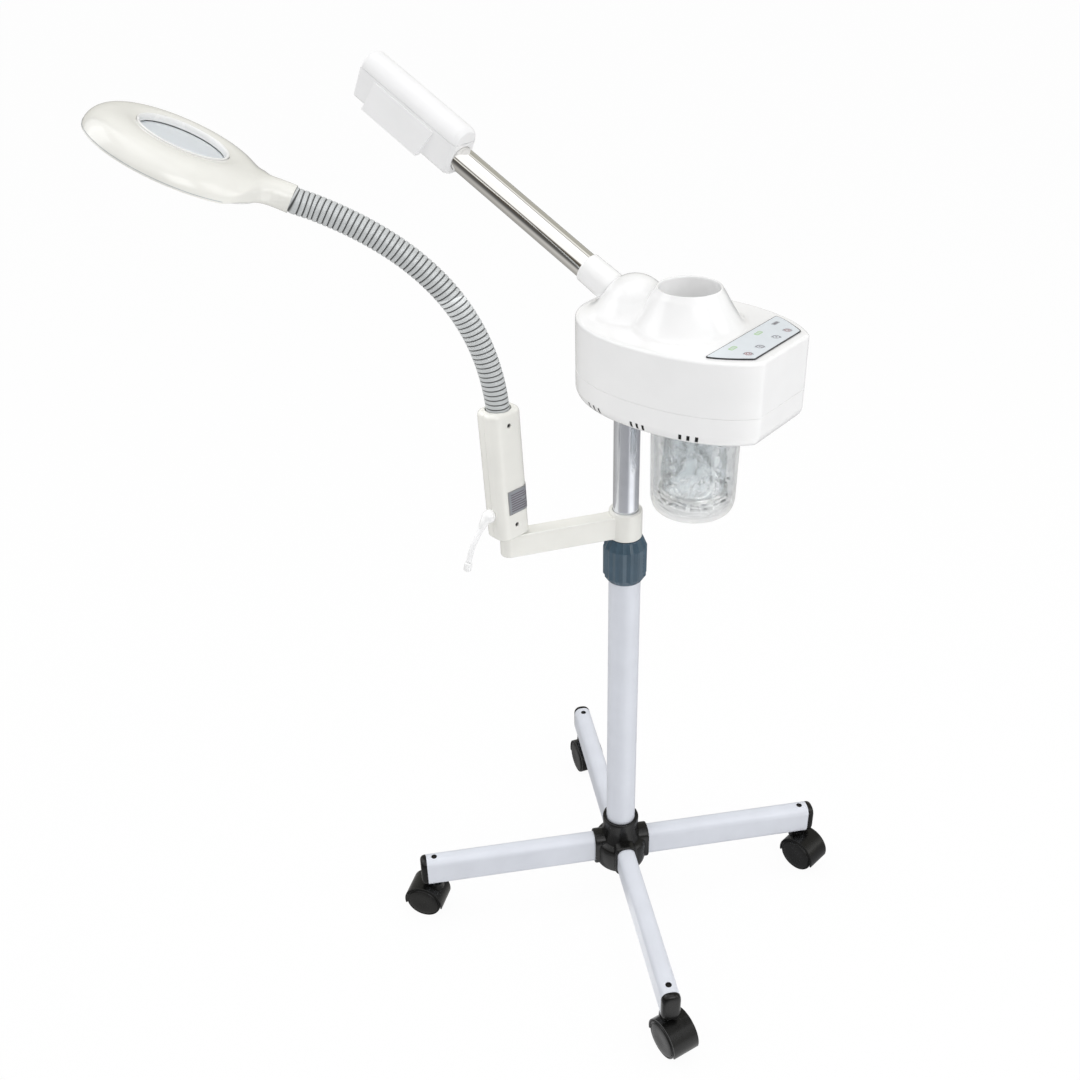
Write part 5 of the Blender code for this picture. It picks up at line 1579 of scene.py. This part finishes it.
def icon(kind, z):
    """A plain made-up sign: power, wave, sparkle or clock."""
    if kind == "power_button":
        bar = moved(printed(0.35, 1.0, 0.3, z, 3), (0, 1.3, 0))
        return joined(flat_ring(1.9, 0.6, z, (125, 415)), bar)
    if kind == "steam_button":
        heights = (-1.5, -0.3, 0.9)
        return joined(*[moved(flat_ring(1.2, 0.5, z, (20, 160)), (0, y, 0)) for y in heights])
    if kind == "ozone_button":
        return joined(*[moved(printed(0.25, 1.0, 0.2, z), turn=(0, 0, 60 * k)) for k in range(3)])
    hand = moved(printed(0.25, 0.7, 0.2, z), (0, 0.6, 0))
    return joined(flat_ring(1.9, 0.45, z), hand)


def build_icons(z):
    """Buttons with a coloured ring and sign, and the row of indicator windows behind them."""
    for name, y in BUTTONS.items():
        place = placed((BUTTON_X, y, 0), (0, 0, -90))
        cap = turned_solid([(3.6, 707.4), (3.6, z - 0.2), (3.3, z)], 40, 0.15)
        piece(name + "_cap", cap, "panel_film", name, place, (name,))
        marks = joined(flat_ring(3.1, 0.55, z), icon(name, z))
        piece(name + "_sign", marks, SIGN_FINISHES[name], name, place)
    for k, (y, window_finish, bar_finish) in enumerate(INDICATORS):
        place = placed((INDICATOR_X, y, 0))
        window = printed(2.2, 4.6, 1.2, z, 4, 0.05)
        piece(f"indicator_window_{k}", window, window_finish, "steamer", place)
        rows = [1.7 * (i - 1.5) for i in range(4)]
        bars = [moved(printed(1.3, 0.5, 0.3, z + 0.05, 2, 0.05), (0, row, 0)) for row in rows]
        piece(f"indicator_bars_{k}", joined(*bars), bar_finish, "steamer", place)


# the jar's outside from its foot up, its inside from the rim down, and the water's outside
JAR_OUTSIDE = [(10.0, 536.4), (24.0, 535.1), (31.0, 535.6), (36.2, 539.0), (38.5, 546.5)]
JAR_OUTSIDE += [(40.4, 643.0), (40.5, 651.0)]
JAR_INSIDE = [(37.5, 651.0), (37.4, 643.0), (35.6, 549.0), (33.6, 544.4), (28.5, 541.2)]
JAR_INSIDE += [(10.0, 540.6)]
WATER = [(AXIS_GAP, 541.0), (10.0, 541.0), (28.3, 541.6), (33.2, 544.8), (35.2, 549.4)]
WATER += [(36.9, 636.0), (36.9, 640.0), (AXIS_GAP, 640.0)]


def jar_shape():
    outside, inside = soften(JAR_OUTSIDE, 4.0, False, 8), soften(JAR_INSIDE, 4.0, False, 8)
    foot, rim, bottom = (AXIS_GAP, 536.6), (39.0, 651.6), (AXIS_GAP, 540.4)
    return turned_solid([foot, *outside, rim, *inside, bottom], 128)


def build_jar():
    axis = placed((JAR_X, 0, 0))
    piece("clear_jar", jar_shape(), "glass", "jar", axis, ("glass_jar",), weighted=False)
    contents = (
        ("water", turned_solid(soften(WATER, 2.0, False, 5), 128), "water"),
        ("boiling_sheet", boiling_shape(), "foam"),
        ("bubbles", bubbles_shape(), "bubble"),
        ("froth_ring", froth_ring_shape(), "bubble"),
    )
    for name, shape, finish in contents:
        piece(name, shape, finish, "jar", axis, weighted=False)


BOIL_LOW = 553.0
BOIL_RISE = 84.0
BOIL_REACH = 27.5
FROTH_REACH = 30.5
FROTH_LEVEL = 550.5


def boiling_shape():
    """A crumpled sheet of rising water over the heating ring, open at its foot."""
    rings = []
    count, levels = 96, 40
    shift = Vector((5, 0, 0))
    for j in range(levels + 1):
        z = BOIL_LOW + BOIL_RISE * j / levels
        ring = []
        for i in range(count):
            a = 2 * math.pi * i / count
            base = BOIL_REACH + 1.5 * math.sin(j * 0.16)
            p = Vector((*polar(1.6, a), z * 0.035))
            r = base + 3.2 * noise.noise(p) + 1.2 * noise.noise(p * 2.7)
            ring.append((*polar(r, a), z + 2.0 * noise.noise(p * 1.7 + shift)))
        rings.append(ring)
    inner = [[(x * 0.985, y * 0.985, z) for x, y, z in ring] for ring in rings]
    return loft(rings + inner[::-1], closed=True)


def froth_ring_shape():
    """The uneven rim of froth where the rising sheet meets the still water."""
    draw = random.Random(11)
    loop = []
    for k in range(24):
        a = 2 * math.pi * k / 24
        reach = FROTH_REACH + draw.uniform(-1.6, 1.4)
        loop.append((*polar(reach, a), FROTH_LEVEL + draw.uniform(-1.8, 2.2)))
    route = curve_through(loop + loop[:1], 4)
    return swept(route, [0.9 + 0.5 * math.sin(k * 0.9) for k in range(len(route))], 12)


def bubbles_shape():
    """Bubbles of many sizes, squashed a little, round the sheet and over the heating ring."""
    draw = random.Random(7)
    blobs = []
    for _ in range(110):
        a = draw.uniform(0, 2 * math.pi)
        low = draw.random() < 0.45
        reach = draw.uniform(20.0, 33.0)
        z = draw.uniform(550.0, 572.0) if low else draw.uniform(572.0, 634.0)
        size = draw.uniform(0.5, 1.5) if low else draw.uniform(0.35, 1.1)
        blob = bmesh.new()
        bmesh.ops.create_icosphere(blob, subdivisions=2, radius=size)
        blob.transform(Matrix.Diagonal((1.6, draw.uniform(1.2, 1.7), draw.uniform(0.5, 0.9), 1)))
        blobs.append(moved(blob, (*polar(reach, a), z)))
    return joined(*blobs)


HEATER_TURN = 130.0
HEATER_REACH = 28.5
HEATER_RADIUS = 2.7
HEATER_LEVEL = 556.5


def heater_shape():
    """The heating tube: down one leg, once round the jar, and up the other."""
    turns = [math.radians(HEATER_TURN + a) for a in range(12, 349, 6)]
    loop = [(*polar(HEATER_REACH, a), HEATER_LEVEL) for a in turns]
    levels = (653.0, 610.0, 570.0, 562.0)
    down = [(*loop[0][:2], z) for z in levels]
    up = [(*loop[-1][:2], z) for z in reversed(levels)]
    route = curve_through(down + loop[2:-2] + up, 3)
    return swept(route, [HEATER_RADIUS] * len(route), 24)


def build_body():
    covers = (
        ("upper_housing", top_cover_shape(), "top_cover"),
        ("lower_housing", bottom_cover_shape(), "bottom_cover"),
    )
    for name, shape, node in covers:
        piece(name, shape, "white_plastic", "steamer", replaces=(node,), angle=34)
    # dark sheets in the vent slots, as painted shade
    piece("vent_shade_sheets", vent_shade_sheets_shape(), "black_plastic", "steamer")
    build_panel()
    holder = turned_ring([(41.0, 638.2), (46.5, 638.2), (46.5, 652.8), (41.0, 652.8)], 96, 1.0)
    axis = placed((JAR_X, 0, 0))
    piece("jar_collar", holder, "matt_white", "steamer", axis, ("jar_ring",))
    piece("heater_loop", heater_shape(), "bright_steel", "steamer", axis, ("heating_element",))
    dress("level_probe", "dark_steel")
    dress("chamber_cap", "matt_white")
    dress("column_socket", "matt_white")
    dress("circuit_board", "circuit_board")
    build_inlet()
    build_jar()


def build_inlet():
    """The appliance inlet at the back: a dark shell with three pins."""
    inlet = cut(box((45, 50, 668), (77, 73.5, 690)), box((49, 60, 671), (73, 80, 687)))
    piece("inlet_shell", inlet, "black_plastic", "steamer", replaces=("power_inlet",), bevel=0.6)
    pins = []
    for x, z in ((54.5, 680.5), (61.0, 676.5), (67.5, 680.5)):
        pin = prism(rounded_rectangle(2.4, 0.8, 0.6, 3), 60, 70)
        pins.append(moved(pin, (x, 0, z), (-90, 0, 0)))
    piece("inlet_pins", joined(*pins), "steel", "steamer", bevel=0.2)


# ---------------------------------------------------------------- spray arm and nozzle

SPRAY_COLLAR = (26.0, 58.5)
SCREW_UP = 47
SCREW_TURN = 35
NOZZLE_HALF = 15.0
NOZZLE_INSIDE = 12.6
NOZZLE_FLOOR = -16.0
NOZZLE_SPLIT = 15.4
GRILLE_SLOTS = (-6.9, -2.5, 1.9, 6.3)


def build_spray_arm():
    low, high = SPRAY_COLLAR
    profile = [(14.2, low), (14.1, low + 14), (13.7, high - 1), (13.2, high), (12.3, high)]
    profile += [(12.3, low + 4), (9.0, low + 4), (9.0, low)]
    way = moved(cylinder(2.1, 12.9, 20, 32), (0, 0, SCREW_UP), (0, 90, 0))
    collar = cut(turned_ring(profile, 96, 0.7), moved(way, turn=(0, 0, SCREW_TURN)))
    piece("arm_collar", collar, "white_plastic", "steamer", SPRAY, ("spray_arm_collar",))
    screw = moved(screw_shape(1.8, 12.5, 13.8), (0, 0, SCREW_UP), (0, 90, 0))
    place = placed(turn=(0, 0, SCREW_TURN), parent=SPRAY)
    piece("arm_collar_screw", screw, "dark_steel", "steamer", place, ("spray_collar_screw",))
    piece("chrome_tube", tube(*CHROME_TUBE), "chrome", "steamer", SPRAY, ("spray_tube",))
    lower, upper = nozzle_lower(), nozzle_upper()
    piece("nozzle_tray", lower, "matt_white", "nozzle", SPRAY, ("nozzle_lower_shell",), 0.8, 3, 30)
    piece("nozzle_roof", upper, "matt_white", "nozzle", SPRAY, ("nozzle_upper_shell",), 0.9, 3, 30)
    grille = grille_shape()
    piece("outlet_grille", grille, "matt_white", "nozzle", SPRAY, ("nozzle_grille",), 0.2)


def grille_shape():
    end = NOZZLE[1]
    plate = prism(rounded_rectangle(10.2, 9.2, 1.5), end - 2.0, end - 0.4)
    slots = []
    for x in GRILLE_SLOTS:
        slot = prism(rounded_rectangle(1.1, 7.0, 1.0, 4), end - 5, end + 5)
        slots.append(moved(slot, (x, 0, 0)))
    return cut(plate, joined(*slots))


def nozzle_section(half, split, floor, corner=3.0):
    """The nozzle's section below its split: square above, with cut corners at the floor."""
    points = [(split, -half), (split, half), (floor + corner, half), (floor, half - corner)]
    return points + [(floor, corner - half), (floor + corner, -half)]


def nozzle_lower():
    """The tray of the nozzle, with a raised pad on each side."""
    start, end = NOZZLE
    rings = []
    for z, inset in ((start, 2.5), (start + 4, 0.0), (end, 0.0)):
        floor = NOZZLE_FLOOR + inset * 0.6
        section = nozzle_section(NOZZLE_HALF - inset, NOZZLE_SPLIT - 0.02, floor)
        rings.append([(x, y, z) for x, y in section])
    tray = welded(loft(rings), grip_pad(1), grip_pad(-1))
    inside = nozzle_section(NOZZLE_INSIDE, 25.0, NOZZLE_FLOOR + 2.4)
    hollow = prism(inside, start + 6, end - 2.4)
    tube_way = cylinder(12.3, start - 5, start + 20, 64)
    return cut(tray, hollow, tube_way, box((-10.5, -9.5, end - 10), (9.5, 9.5, end + 5)))


def grip_pad(side):
    """The raised wedge on a side of the nozzle, thickest along its lower edge."""
    start, end = NOZZLE
    corners = [(12.4, 15.8, start + 27), (12.4, 15.8, end - 21)]
    corners += [(-17.5, 19.5, end - 17), (-17.5, 19.5, start + 36)]
    back = [(x, 13.5 * side, z) for x, y, z in corners]
    return loft([back, [(x, y * side, z) for x, y, z in corners]])


def nozzle_upper():
    """The roof of the nozzle: half a pipe, closed at both ends, with a thin lip along the seam."""
    start, end = NOZZLE
    low = NOZZLE_SPLIT + 0.04

    def arch(radius, z):
        turns = [math.radians(a) for a in range(0, 181, 5)]
        return [(low + radius * math.sin(a), radius * math.cos(a), z) for a in turns]

    rings = [arch(12.5, start), arch(NOZZLE_HALF, start + 4), arch(15.15, start + 12)]
    rings += [arch(15.15, end - 2.5), arch(14.6, end - 0.8), arch(13.2, end)]
    half = NOZZLE_INSIDE
    feet = [(low - 3, -half), (low - 3, half)]
    inside = [arch(half, z) + [(x, y, z) for x, y in feet] for z in (start + 6, end - 4)]
    return cut(loft(rings), loft(inside))


build_base()
build_column()
build_lamp_stand()
build_gooseneck()
build_lamp_head()
build_body()
build_spray_arm()
make_floor()
make_light()
make_world()
